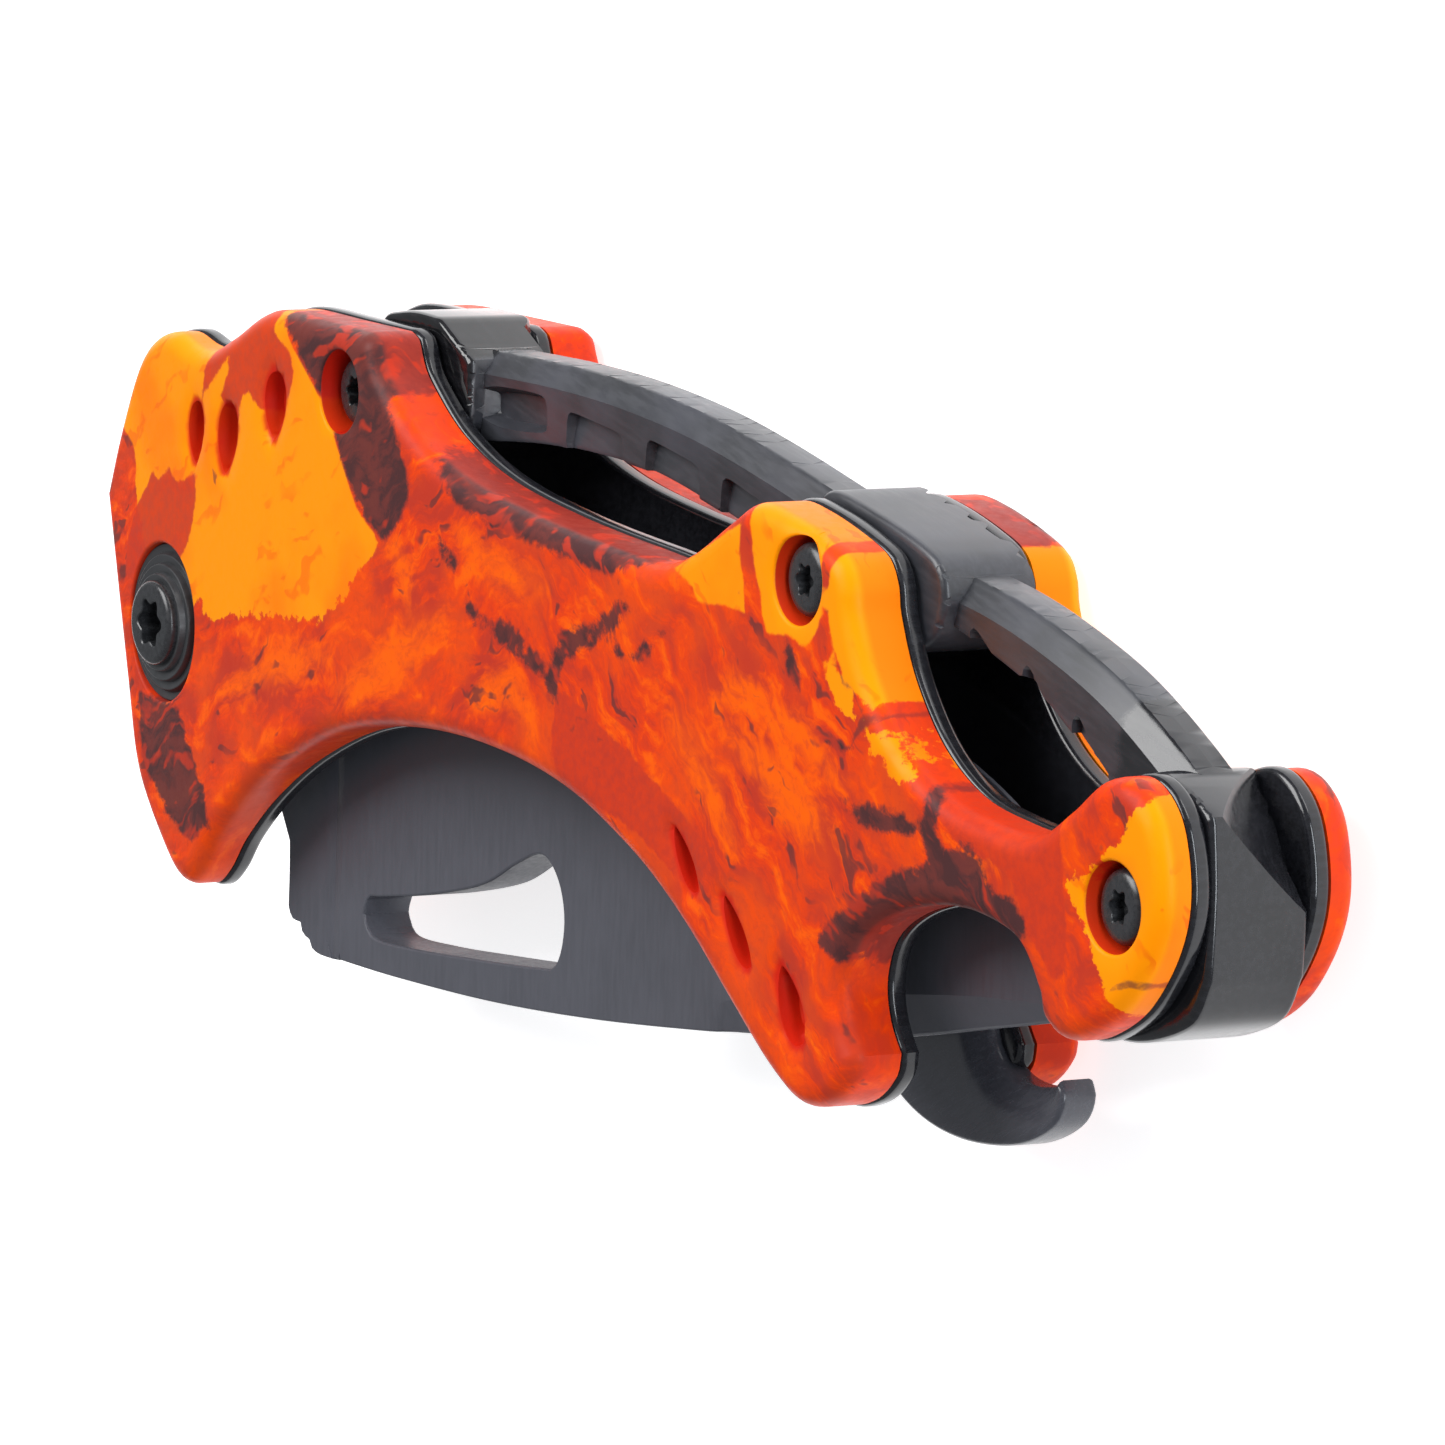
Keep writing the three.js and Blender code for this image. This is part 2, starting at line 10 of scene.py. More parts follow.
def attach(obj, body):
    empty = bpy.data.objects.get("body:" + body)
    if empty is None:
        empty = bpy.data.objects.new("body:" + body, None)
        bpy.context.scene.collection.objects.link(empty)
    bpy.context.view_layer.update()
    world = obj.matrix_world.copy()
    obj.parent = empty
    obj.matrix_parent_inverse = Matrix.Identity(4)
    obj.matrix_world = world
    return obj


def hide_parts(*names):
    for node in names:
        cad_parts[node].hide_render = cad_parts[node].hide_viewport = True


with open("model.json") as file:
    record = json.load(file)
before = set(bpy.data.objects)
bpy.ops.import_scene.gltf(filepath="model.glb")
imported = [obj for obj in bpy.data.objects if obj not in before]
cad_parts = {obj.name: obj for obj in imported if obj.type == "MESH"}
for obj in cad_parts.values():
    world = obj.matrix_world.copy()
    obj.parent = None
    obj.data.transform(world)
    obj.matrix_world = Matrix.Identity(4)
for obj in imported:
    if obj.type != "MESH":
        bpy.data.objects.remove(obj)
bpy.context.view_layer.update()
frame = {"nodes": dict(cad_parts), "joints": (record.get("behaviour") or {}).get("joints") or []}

MM = 0.001
JOINTS = {joint["name"]: joint for joint in frame["joints"]}
PIVOT = Vector(JOINTS["blade_pivot"]["pos_m"])
BAR_HINGE = (Vector(JOINTS["lock_bar_flex"]["pos_m"]) - PIVOT) / MM
BAR_LIFT = math.radians(JOINTS["lock_bar_flex"]["range_deg"][1])

# Layers through the thickness
SEAM = 0.05
LINER_IN = 3.2
LINER_OUT = 4.4
SCALE_IN = LINER_OUT + SEAM
SCALE_OUT = 8.05
BLADE_HALF = 1.6

# The scales are flat between two places and fall away in arcs towards both ends
FLAT_START = 37
FLAT_END = 65
FRONT_FALL = 0.00112
TAIL_FALL = 0.00078

# Fasteners
PIVOT_HOLE = 3.1
DISC_RECESS = 4.9
WELL = 2.5
THREAD_BORE = 1.25
HEAD_HEIGHT = 1.3
HEAD = 2.1
PIN_PLACE = (-5.4, 12.2)
BODY_SCREWS = [(23.9, 17.2, 1.3), (77.2, 13.1, 0.6), (108.4, -0.3, 1.9)]


# Camera and light. Directions are given for the knife standing with its blade down, and laid()
# turns them to the knife that lies on its back scale.

def laid(x, y, z):
    """A direction of the standing knife (y away from the viewer, z up), turned to the lying knife."""
    return Vector((x, z, -y))


def add_camera():
    azimuth = math.radians(59.0)
    elevation = math.radians(8.45)
    roll = math.radians(-2.15)
    distance = 0.674
    # The anchor is seen this far right of the middle and above it, per unit of distance
    across, above = -0.0504, 0.0092
    anchor = PIVOT + MM * Vector((2.9, 0.5, 7.6))
    back = laid(math.sin(azimuth) * math.cos(elevation), -math.cos(azimuth) * math.cos(elevation),
                math.sin(elevation))
    level = laid(math.cos(azimuth), math.sin(azimuth), 0)
    upright = back.cross(level)
    right = level * math.cos(roll) - upright * math.sin(roll)
    up = level * math.sin(roll) + upright * math.cos(roll)
    place = anchor - distance * (right * across + up * above - back)
    data = bpy.data.cameras.new("camera")
    data.sensor_width = 36
    data.lens = 274
    data.clip_start = 0.01
    data.clip_end = 20
    camera = bpy.data.objects.new("camera", data)
    turn = Matrix((right, up, back)).transposed().to_4x4()
    camera.matrix_world = Matrix.Translation(place) @ turn
    bpy.context.scene.collection.objects.link(camera)
    bpy.context.scene.camera = camera


def add_light(name, direction, distance, size, power, color=(1, 1, 1)):
    data = bpy.data.lights.new(name, "AREA")
    data.shape = "RECTANGLE"
    data.size, data.size_y = size
    data.energy = power
    data.color = color
    light = bpy.data.objects.new(name, data)
    away = laid(*direction).normalized()
    turn = away.to_track_quat("Z", "Y").to_matrix().to_4x4()
    light.matrix_world = Matrix.Translation(away * distance) @ turn
    bpy.context.scene.collection.objects.link(light)


def add_studio():
    scene = bpy.context.scene
    scene.view_settings.view_transform = "Standard"
    world = bpy.data.worlds.new("studio")
    world.use_nodes = True
    world.node_tree.nodes["Background"].inputs["Color"].default_value = (0.93, 0.96, 1.0, 1)
    world.node_tree.nodes["Background"].inputs["Strength"].default_value = 0.3
    scene.world = world
    add_light("key", (-0.35, -1.0, 0.75), 0.8, (0.5, 0.5), 6.6)
    add_light("side", (1.0, -0.30, 0.22), 0.7, (0.6, 0.12), 2.6, (0.88, 0.94, 1.0))
    add_light("top", (0.45, -0.05, 1.0), 0.6, (0.3, 0.16), 0.9)


def add_floor():
    size = 3.0
    mesh = bpy.data.meshes.new("floor")
    corners = [(-size, -size, 0), (size, -size, 0), (size, size, 0), (-size, size, 0)]
    mesh.from_pydata(corners, [], [(0, 1, 2, 3)])
    floor = bpy.data.objects.new("floor", mesh)
    bpy.context.scene.collection.objects.link(floor)
    return floor


# Curves and outlines in the plane

# Steps between two given points, a number too small to matter, and a distance that counts as far
CURVE_STEPS = 24
TINY = 1e-12
FAR = 99.0


def smooth(points, step):
    """Points at even steps along the smooth curve through the given points."""
    p = np.array(points, float)
    padded = np.vstack([p[:1], p, p[-1:]])
    t = np.linspace(0, 1, CURVE_STEPS, endpoint=False)[:, None]
    dense = []
    for before, a, b, after in zip(padded, padded[1:], padded[2:], padded[3:]):
        leave = (b - before) / 2
        arrive = (after - a) / 2
        dense.append((2 * a - 2 * b + leave + arrive) * t ** 3
                     + (3 * b - 3 * a - 2 * leave - arrive) * t ** 2 + leave * t + a)
    line = np.vstack(dense + [p[-1:]])
    along = np.concatenate([[0], np.cumsum(np.linalg.norm(np.diff(line, axis=0), axis=1))])
    places = np.linspace(0, along[-1], max(2, round(along[-1] / step)) + 1)
    return np.stack([np.interp(places, along, line[:, 0]), np.interp(places, along, line[:, 1])], axis=1)


def outline(stretches, step=0.5):
    """A closed outline of smooth stretches that meet in corners."""
    parts = []
    for i, points in enumerate(stretches):
        following = stretches[(i + 1) % len(stretches)][0]
        parts.append(smooth([*points, following], step)[:-1])
    return np.vstack(parts)


def circle(radius, x=0.0, y=0.0, count=64):
    angle = np.linspace(0, 2 * math.pi, count, endpoint=False)
    return np.stack([x + radius * np.cos(angle), y + radius * np.sin(angle)], axis=1)


def normals(loop):
    along = np.roll(loop, -1, axis=0) - np.roll(loop, 1, axis=0)
    along /= np.linalg.norm(along, axis=1)[:, None]
    return np.stack([-along[:, 1], along[:, 0]], axis=1)


def area(loop):
    x, y = loop.T
    return 0.5 * np.sum(x * np.roll(y, -1) - np.roll(x, -1) * y)


def inset(loop, distance):
    return loop + normals(loop) * distance * np.sign(area(loop))


def inset_line(line, distance):
    """An open line moved to its right, without the two points at each end."""
    along = np.gradient(line, axis=0)
    along /= np.linalg.norm(along, axis=1)[:, None]
    return line[2:-2] + np.stack([along[:, 1], -along[:, 0]], axis=1)[2:-2] * distance


def in_chunks(function, xy, size=2000):
    return np.concatenate([function(xy[i:i + size]) for i in range(0, len(xy), size)])


def distance_to(xy, line, closed=True):
    """The distance from each point to a polyline."""
    a = line if closed else line[:-1]
    b = np.roll(line, -1, axis=0) if closed else line[1:]
    along = b - a
    length2 = np.maximum(np.sum(along ** 2, axis=1), TINY)

    def nearest(p):
        offset = p[:, None] - a[None]
        t = np.clip(np.sum(offset * along[None], axis=2) / length2, 0, 1)
        gap = offset - t[..., None] * along[None]
        return np.sqrt(np.min(np.sum(gap ** 2, axis=2), axis=1))

    return in_chunks(nearest, xy)


def inside(xy, loop):
    a = loop
    b = np.roll(loop, -1, axis=0)
    rise = np.where(b[:, 1] == a[:, 1], TINY, b[:, 1] - a[:, 1])

    def crossings(p):
        x, y = p[:, :1], p[:, 1:]
        spans = (a[:, 1] > y) != (b[:, 1] > y)
        left = x < a[:, 0] + (y - a[:, 1]) * (b[:, 0] - a[:, 0]) / rise
        return np.sum(spans & left, axis=1) % 2 == 1

    return in_chunks(crossings, xy)


def region(bodies, holes):
    """A test for points that lie inside any of the bodies and outside all the holes."""
    def solid(xy):
        keep = np.zeros(len(xy), bool)
        for body in bodies:
            keep |= inside(xy, body)
        for hole in holes:
            keep &= ~inside(xy, hole)
        return keep

    return solid


def screw_holes(radius, count=32):
    return [circle(radius, x, y, count) for x, y, _ in BODY_SCREWS]


def rounding(d, radius):
    """How far a rounded edge has fallen at the distance d from its rim."""
    reach = np.clip(d, 0, radius)
    return radius - np.sqrt(np.maximum(radius ** 2 - (radius - reach) ** 2, 0))


def ease(t):
    t = np.clip(t, 0, 1)
    return t * t * (3 - 2 * t)


# Bodies

# Spacing of the grid's rows and room beside lines, both in cells
ROW_SPACING = 0.866
KEEP_CLEAR = 0.3
# An edge point keeps this share of the first row's distance from every rim
SAME_ROW = 0.9
MERGE = 1e-4
# Points in a ring, and the lobes of a driver's recess
ROUND_STEPS = 72
LOBES = 6
LOBE_REACH = 0.15


def add_object(name, node, points, faces, material, slot, body="handle", sharp=32):
    """A piece that stands for the CAD node and rides on the body."""
    mesh = bpy.data.meshes.new(name)
    placed = np.array(points) * MM + np.array(PIVOT)
    mesh.from_pydata(placed.tolist(), [], faces)
    mesh.materials.append(material)
    mesh.shade_smooth()
    mesh.set_sharp_from_angle(angle=math.radians(sharp))
    piece = bpy.data.objects.new(name, mesh)
    bpy.context.scene.collection.objects.link(piece)
    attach(piece, body)
    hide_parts(node)
    return piece


def add_attribute(piece, name, values):
    """One number for each of the mesh's points, which a material can read."""
    layer = piece.data.attributes.new(name, "FLOAT", "POINT")
    layer.data.foreach_set("value", np.asarray(values, float))


def grid_points(loops, cell):
    low = np.min([loop.min(axis=0) for loop in loops], axis=0)
    high = np.max([loop.max(axis=0) for loop in loops], axis=0)
    rows = np.arange(low[1], high[1], cell * ROW_SPACING)
    columns = np.arange(low[0], high[0], cell)
    return np.array([(x + (i % 2) * cell / 2, y) for i, y in enumerate(rows) for x in columns])


def edge_points(rims, radius, rows):
    """Points beside the rims, in rows that follow a rounded edge of the given radius."""
    found = []
    for i in range(1, rows + 1):
        d = radius * (1 - math.cos(i / rows * math.pi / 2))
        for rim in rims:
            for side in (1, -1):
                found.append(rim + normals(rim) * d * side)
    return np.vstack(found)


def relief_mesh(solid, rims, top, bottom, creases=(), lines=(), radius=0.15, rows=2, cell=1.2):
    """A closed body over the part of the plane where solid(xy) is true, from bottom(xy) up to top(xy).
    rims are the loops that bound it, creases are loops and lines are open lines that the mesh follows."""
    fine = edge_points(rims, radius, rows)
    near = np.min([distance_to(fine, rim) for rim in rims], axis=0)
    first_row = radius * (1 - math.cos(math.pi / 2 / rows))
    fine = fine[(near > SAME_ROW * first_row) & solid(fine)]
    coarse = grid_points(rims, cell)
    coarse = coarse[solid(coarse)]
    free = np.min([distance_to(coarse, rim) for rim in rims], axis=0) > radius + cell * KEEP_CLEAR
    paths = [(loop, True) for loop in [*rims, *creases]] + [(line, False) for line in lines]
    for path, closed in paths[len(rims):]:
        free &= distance_to(coarse, path, closed) > cell * KEEP_CLEAR
    plan = []
    edges = []
    for path, closed in paths:
        start = len(plan)
        count = len(path)
        plan += path.tolist()
        edges += [(start + i, start + (i + 1) % count) for i in range(count if closed else count - 1)]
    plan += fine.tolist() + coarse[free].tolist()
    out = delaunay_2d_cdt([Vector(p) for p in plan], edges, [], 0, MERGE, False)
    xy = np.array([v[:] for v in out[0]])
    faces = np.array(out[2])
    faces = faces[solid(xy[faces].mean(axis=1))]
    a, b, c = (xy[faces[:, i]] for i in range(3))
    turn = (b[:, 0] - a[:, 0]) * (c[:, 1] - a[:, 1]) - (b[:, 1] - a[:, 1]) * (c[:, 0] - a[:, 0])
    faces = np.where((turn < 0)[:, None], faces[:, ::-1], faces)
    used, flat = np.unique(faces, return_inverse=True)
    faces = flat.reshape(-1, 3)
    xy = xy[used]
    count = len(xy)
    upper = np.column_stack([xy, top(xy)])
    lower = np.column_stack([xy, bottom(xy)])
    directed = {(f[i], f[(i + 1) % 3]) for f in faces.tolist() for i in range(3)}
    walls = [(p + count, q + count, q, p) for p, q in sorted(directed) if (q, p) not in directed]
    under = faces[:, ::-1] + count
    return np.vstack([upper, lower]), faces.tolist() + under.tolist() + walls


def mirrored(points, faces):
    return points * np.array([1, 1, -1]), [tuple(reversed(face)) for face in faces]


def loft_mesh(rings):
    """Rings of points from the underside outwards, up and in again, with both ends closed."""
    count = len(rings[0])
    faces = [tuple(reversed(range(count)))]
    for i in range(len(rings) - 1):
        low = i * count
        high = low + count
        for j in range(count):
            k = (j + 1) % count
            faces.append((low + j, low + k, high + k, high + j))
    faces.append(tuple(range((len(rings) - 1) * count, len(rings) * count)))
    return np.vstack(rings), faces


def bored_mesh(rings):
    """The same, with a bore that joins the last ring to the first in place of the closed ends."""
    points, faces = loft_mesh(rings)
    count = len(rings[0])
    last = len(points) - count
    bore = []
    for j in range(count):
        k = (j + 1) % count
        bore.append((last + j, last + k, k, j))
    return points, faces[1:-1] + bore


def ring(radius, z, lobed=False):
    angle = np.linspace(0, 2 * math.pi, ROUND_STEPS, endpoint=False)
    lobes = LOBE_REACH * np.cos(LOBES * angle) if lobed else np.zeros(ROUND_STEPS)
    reach = radius * (1 + lobes)
    return np.column_stack([reach * np.cos(angle), reach * np.sin(angle), np.full(ROUND_STEPS, z)])


# Outlines of the handle and its parts

HANDLE = outline([
    [(-9.8, 6.8), (-8.1, 10.8), (-5.6, 15.3), (-3.2, 17.4), (-0.2, 18.1), (2.6, 17.6), (5, 17.6),
     (8.6, 19), (12.1, 20.6), (15, 21.2), (21, 21.2)],
    [(26.6, 21.2), (27.6, 20.8)],
    [(28.1, 19.9), (29.2, 18.5), (33.4, 15.8), (39.5, 13.9), (48, 12.8), (57, 12.2), (61.5, 12.1), (65, 13.2),
     (69, 15.5), (71.8, 16.9), (75, 16.7), (79, 15.8), (81.4, 14.9), (82.5, 13.4), (82.9, 11.8), (84.7, 8.5),
     (87.9, 5.3), (92, 3.3), (96.5, 2.6), (100.5, 2.6), (103.6, 4.4), (106.4, 6.4), (109.3, 6.7),
     (111.9, 4.8), (113, 1), (112.2, -2.4), (109.6, -5.8), (106.3, -7.8), (103.8, -8.4), (102, -7.5)],
    [(101.5, -6.2), (99.5, -3.9), (96, -3), (92, -3), (87.4, -4.1), (84.1, -6), (83, -8.4), (83.4, -10.6)],
    [(84.7, -12.4), (84.3, -13.9), (82.2, -15.6), (79, -16.3), (75.6, -14.9), (71.3, -12), (66.5, -8.7),
     (62, -6.2), (57.6, -4.4), (52.4, -2.8), (46, -1.8), (38.5, -1.5), (31.5, -2), (24.2, -3.4),
     (17.4, -6.1), (12.1, -9.2), (8.3, -12.3), (6.3, -14.6), (4.4, -15.8), (2, -15.2), (-1.8, -12.2),
     (-4.2, -9.2), (-6, -4.2), (-8.6, 3.3)],
])

MOUTH = [(83, -6.4), (82.6, -8.6), (82.3, -11), (82.8, -12.8), (84.4, -14), (86.8, -14.3), (89, -13.9)]
OPENER = outline([
    MOUTH,
    [(90.6, -13.3), (91.1, -14.4), (90, -16.1), (86.4, -17.7), (81, -18.4), (76, -17.8), (71.5, -15.6)],
    [(67.8, -12.2), (69.2, -8.6)],
    [(71, -5.6), (77, -5.2)],
])


# Scales

def fall_at(x):
    front = FRONT_FALL * np.maximum(FLAT_START - x, 0) ** 2
    return front + TAIL_FALL * np.maximum(x - FLAT_END, 0) ** 2


# Finger grooves: place, length, width and turn in degrees
GROOVES = [
    (4.0, 12.3, 3.9, 2.3, 88),
    (8.6, 12.5, 4.5, 2.9, 80),
    (15.2, 15.3, 4.2, 3.0, 85),
    (66.1, -4.3, 4.4, 1.5, -50),
    (71.9, -7.5, 4.8, 1.6, -50),
    (77.9, -10.7, 4.8, 2.4, -60),
    (83.6, -9.6, 3.0, 1.0, -75),
]
GROOVE_DEPTH = 1.5
GROOVE_STEEP = 1.8
# Mesh lines inside a groove, as shares of its outline, and the form of that outline
GROOVE_POINTS = 17
GROOVE_RINGS = (0.995, 0.93, 0.75, 0.4)
GROOVE_ENDS = 0.4
LENS_WIDTH = 1.62
LENS_TIP = 0.75
NEAR_TIP = 0.995
NARROWEST = 1e-6


def groove_frame(xy, groove):
    """Coordinates along and across one groove, where its ends lie at -1 and 1."""
    x, y, length, width, turn = groove
    angle = math.radians(turn)
    offset = xy - np.array([x, y])
    along = (offset[:, 0] * math.cos(angle) + offset[:, 1] * math.sin(angle)) / (length / 2)
    across = (offset[:, 1] * math.cos(angle) - offset[:, 0] * math.sin(angle)) / (width / 2)
    return along, across


def groove_width(t):
    """A lens that is pointed at its lower end and blunter at its upper end."""
    t = np.clip(t, -1, 1)
    return LENS_WIDTH * ((1 + t) / 2) ** LENS_TIP * np.sqrt(1 - t)


def groove_loop(groove, share):
    x, y, length, width, turn = groove
    angle = math.radians(turn)
    t = -np.cos(np.linspace(0, math.pi, GROOVE_POINTS)) * NEAR_TIP
    up = np.column_stack([t, groove_width(t)])
    down = np.column_stack([t[-2:0:-1], -groove_width(t[-2:0:-1])])
    local = np.vstack([down, up]) * share * np.array([length / 2, width / 2])
    along, across = local.T
    turned = np.column_stack([along * math.cos(angle) - across * math.sin(angle),
                              along * math.sin(angle) + across * math.cos(angle)])
    return turned + np.array([x, y])


def groove_depth(xy):
    depth = np.zeros(len(xy))
    for groove in GROOVES:
        along, across = groove_frame(xy, groove)
        width = np.maximum(groove_width(along), NARROWEST)
        share = np.where(np.abs(along) < 1, 1 - (across / width) ** 2, 0)
        steep = np.sqrt(np.clip(GROOVE_STEEP * share, 0, 1))
        depth += GROOVE_DEPTH * steep * np.clip(1 - along ** 2, 0, 1) ** GROOVE_ENDS
    return depth


def depth_in(xy, shapes):
    """How deep each point lies inside the nearest of the shapes; it is negative outside all of them."""
    depth = np.full(len(xy), -FAR)
    for shape in shapes:
        away = distance_to(xy, shape)
        depth = np.maximum(depth, np.where(inside(xy, shape), away, -away))
    return depth


STROKE_STEP = 0.8
STROKE_END = 0.1


def patch(*stretches):
    return outline(stretches, 1.0)


def stroke(width, *points):
    """A brush stroke along a line, narrow at both ends."""
    line = smooth(points, STROKE_STEP)
    swell = width / 2 * np.sin(np.linspace(STROKE_END, math.pi - STROKE_END, len(line)))[:, None]
    side = np.gradient(line, axis=0)
    side = np.column_stack([-side[:, 1], side[:, 0]]) / np.linalg.norm(side, axis=1)[:, None]
    return np.vstack([line + side * swell, (line - side * swell)[::-1]])


# The print's shapes on the front scale. The back scale has the same print turned end for end.
PRINT_TURN = 104
GLOW_SHAPES = [
    patch(
        [(13, 21.5), (16.2, 21), (17.3, 19.5), (21, 17), (23.2, 15), (24.8, 13), (27, 10.5), (30, 9)],
        [(29, 8), (27.5, 7), (26, 5.5), (23.8, 4)], [(23.2, 3.3), (13.2, 2.3), (6.8, 1.3)],
        [(6, 2.3), (0, 0), (-4.3, 6.8)], [(-4.8, 8.8), (-5.3, 10.3), (-9, 13), (-5, 18.5), (6, 21)],
    ),
    np.array([
        (63.5, 12), (66.5, 13.5), (71.2, 15.6), (71, 14), (71.6, 12.4), (72, 10.4), (70.5, 10.7),
        (66.5, 10.5), (66, 11.5),
    ]),
    patch(
        [(72.2, 15.4), (71.8, 18), (76, 18), (82, 16.6)],
        [(81.5, 15.4), (79.5, 15.8), (80, 12), (79, 10)],
        [(78, 9.4), (76.5, 10), (74.2, 9.8)], [(73.6, 11.5), (72.7, 13.5)],
    ),
    patch(
        [(80.7, 15), (82, 16.6), (86, 14), (86, 8.5)],
        [(85, 7), (82.6, 8.4), (81, 10.2), (80.4, 12.5)],
    ),
    stroke(1.4, (79.8, 9.6), (81.8, 7.8), (84.4, 6)),
    stroke(1.6, (84.6, 5.6), (86.6, 5), (89.2, 3.6)),
    patch(
        [(103.5, 0.8), (106.5, 1.3)],
        [(109.8, 4.6), (111, 6.5), (114.5, 5), (114.5, -3), (112, -6.5)],
        [(109, -6), (107.3, -3.5), (105.8, -1.5)],
    ),
]
LEAF_SHAPES = [
    np.array([
        (4.6, 9.8), (3, 9.3), (1.5, 8.8), (0.5, 9.9), (-0.7, 8.8), (-1.2, 8.8), (-1.8, 9.4), (-2.8, 8.3),
        (-4.3, 6.8), (-5.5, 4.8), (-6, 2), (0, 2), (3.6, 5.3), (4.6, 7.8),
    ]),
    patch(
        [(6, 20), (5.6, 16.8)], [(4, 13.8), (5.4, 14.8), (9.2, 17.8)], [(7.8, 14.8), (8.3, 13.8)],
        [(10.9, 13.8), (10.4, 14.8)], [(11.5, 15.8), (14.3, 14.8), (17.4, 16.3), (17.9, 18.3)],
        [(15.3, 19.8), (14, 21.8), (8, 21)],
    ),
    patch(
        [(51.5, 3.5), (56.5, 2), (62, 0), (69, -3.5)],
        [(67, -6), (60.5, -3.5), (52.5, -2), (51, 0.5)],
    ),
    patch([(90, 3.6), (95, 5), (102, 5)], [(104, 1), (104.5, -5), (101, -3), (99, 0), (94, 1)]),
]
BARK_SHAPES = [
    patch(
        [(16.8, 20), (15.5, 22), (21, 23), (29, 22), (33.5, 16.5), (39.5, 15), (48, 13.8), (61, 12.6)],
        [(57.5, 10.7), (52, 10.9), (46, 11.4), (42, 11.8), (38.5, 12.6), (34.4, 15.4), (32, 17.6),
         (29.8, 17.6)],
        [(33.2, 13.5), (33, 11.5), (32, 10), (30, 9.2)],
        [(27, 10.5), (24.8, 13), (23.2, 15), (21, 17)],
    ),
    np.array([
        (52, 7), (53, 7.6), (55.5, 7.4), (56, 8.6), (58, 9.4), (59.8, 9.5), (58, 7.5), (54.5, 6), (52, 5),
        (51, 1.8), (50, 3.5), (47, 4.4), (44.5, 4.9), (42.4, 6.2), (45.5, 6.7), (48, 5.5), (50.5, 4.5),
        (51, 6),
    ]),
    stroke(0.9, (57.2, 6.4), (60.5, 6.6), (63.8, 8.7)),
    stroke(1.5, (76, 9.7), (77.2, 8.4), (78.2, 7)),
    stroke(0.9, (80.4, 4.8), (82, 4.9), (83.8, 4.3)),
    stroke(1.5, (82, 1.6), (86, 1.2), (91.5, 1.4)),
    stroke(1.7, (90.6, 4.4), (91.4, 2), (92, -2.5)),
    stroke(1.1, (36, 10.5), (38.5, 9.2), (40, 7.6)),
    stroke(1.2, (40.3, 8.2), (41, 6.6), (42.8, 5.4)),
    patch(
        [(80, -6.5), (83, -4.4), (86.5, -2.2), (90.5, -0.8), (95, 1.2)], [(97.5, -1), (100, -1.5)],
        [(101, -3), (98, -4), (94, -4), (88, -5), (84, -7.5)],
    ),
    patch([(-3.5, -4.8), (2, -4.6), (5.5, -7.5), (8, -11)], [(5, -13), (1, -11.4), (-2.5, -8.5)]),
]
AMBER_SHAPES = [
    stroke(3.2, (70.5, 3.6), (76, 1.6), (83, -1.4)),
    stroke(1.8, (73, 5.4), (78, 4.6), (83, 2.2)),
    stroke(2.0, (64.5, 3.6), (68, 0.8), (72, -3)),
    stroke(2.0, (69, 5.2), (72, 6.2), (75, 6)),
    stroke(2.4, (9, -3), (17, -0.4), (24, 1.4)),
    stroke(2.6, (25, -0.8), (32, 2.2), (38, 6)),
    stroke(1.6, (31, 9), (33, 7.6), (34, 5)),
    stroke(2.2, (41, 1.2), (46, 2.6), (49, 0)),
    stroke(1.8, (39, 11), (44, 9.4), (50, 9)),
    stroke(1.6, (96, -0.5), (99, 1.8), (103, 3.6)),
]
TWIG_SHAPES = [
    stroke(0.5, (78.3, 11.2), (80, 9.9), (82.4, 8.3), (84.6, 6.6)),
    stroke(0.5, (82.6, 4.2), (84.4, 5.9), (87.5, 7.6)),
    stroke(0.35, (7, 11), (7.4, 9.5), (7.6, 8)),
    stroke(0.35, (50.8, 2.4), (55, 0), (60, -3)),
    stroke(0.3, (51, 3), (57, 1), (64, -3)),
    stroke(0.45, (68, 2.4), (69.5, 0), (70.2, -1.6)),
    stroke(0.4, (108.5, -4.8), (110, -4.2), (113, -4.4)),
    stroke(0.3, (66.6, 11.8), (69, 12.2), (71.4, 11.6)),
]
PRINT = {"glow": GLOW_SHAPES, "leaf": LEAF_SHAPES, "bark": BARK_SHAPES, "amber": AMBER_SHAPES,
         "twig": TWIG_SHAPES}


SCALE = inset(HANDLE, 0.15)
EDGE_ROUND = 1.3
EDGE_SHARE = 0.62
MOUTH_ROUND = 0.22
# Screw wells: gap under the head, lean of the wall, and where the floor ends
UNDER_HEAD = 0.02
WELL_LEAN = 0.04
WELL_EDGE = 0.01
WELL_STEPS = 56
DISC_STEPS = 96
# A groove this deep is fully red, and so is a well with this margin
RED_DEPTH = 0.25
RED_MARGIN = 0.02


def scale_face(xy):
    z = SCALE_OUT - fall_at(xy[:, 0])
    radius = np.minimum(EDGE_ROUND, EDGE_SHARE * (z - SCALE_IN))
    z = z - rounding(distance_to(xy, SCALE), radius)
    z -= rounding(np.hypot(xy[:, 0], xy[:, 1]) - DISC_RECESS, MOUTH_ROUND)
    z -= groove_depth(xy)
    for x, y, sunk in BODY_SCREWS:
        d = np.hypot(xy[:, 0] - x, xy[:, 1] - y) - WELL
        floor = SCALE_OUT - sunk - HEAD_HEIGHT - UNDER_HEAD
        z = np.where(d < -WELL_EDGE, floor, z - rounding(d, MOUTH_ROUND))
    return z


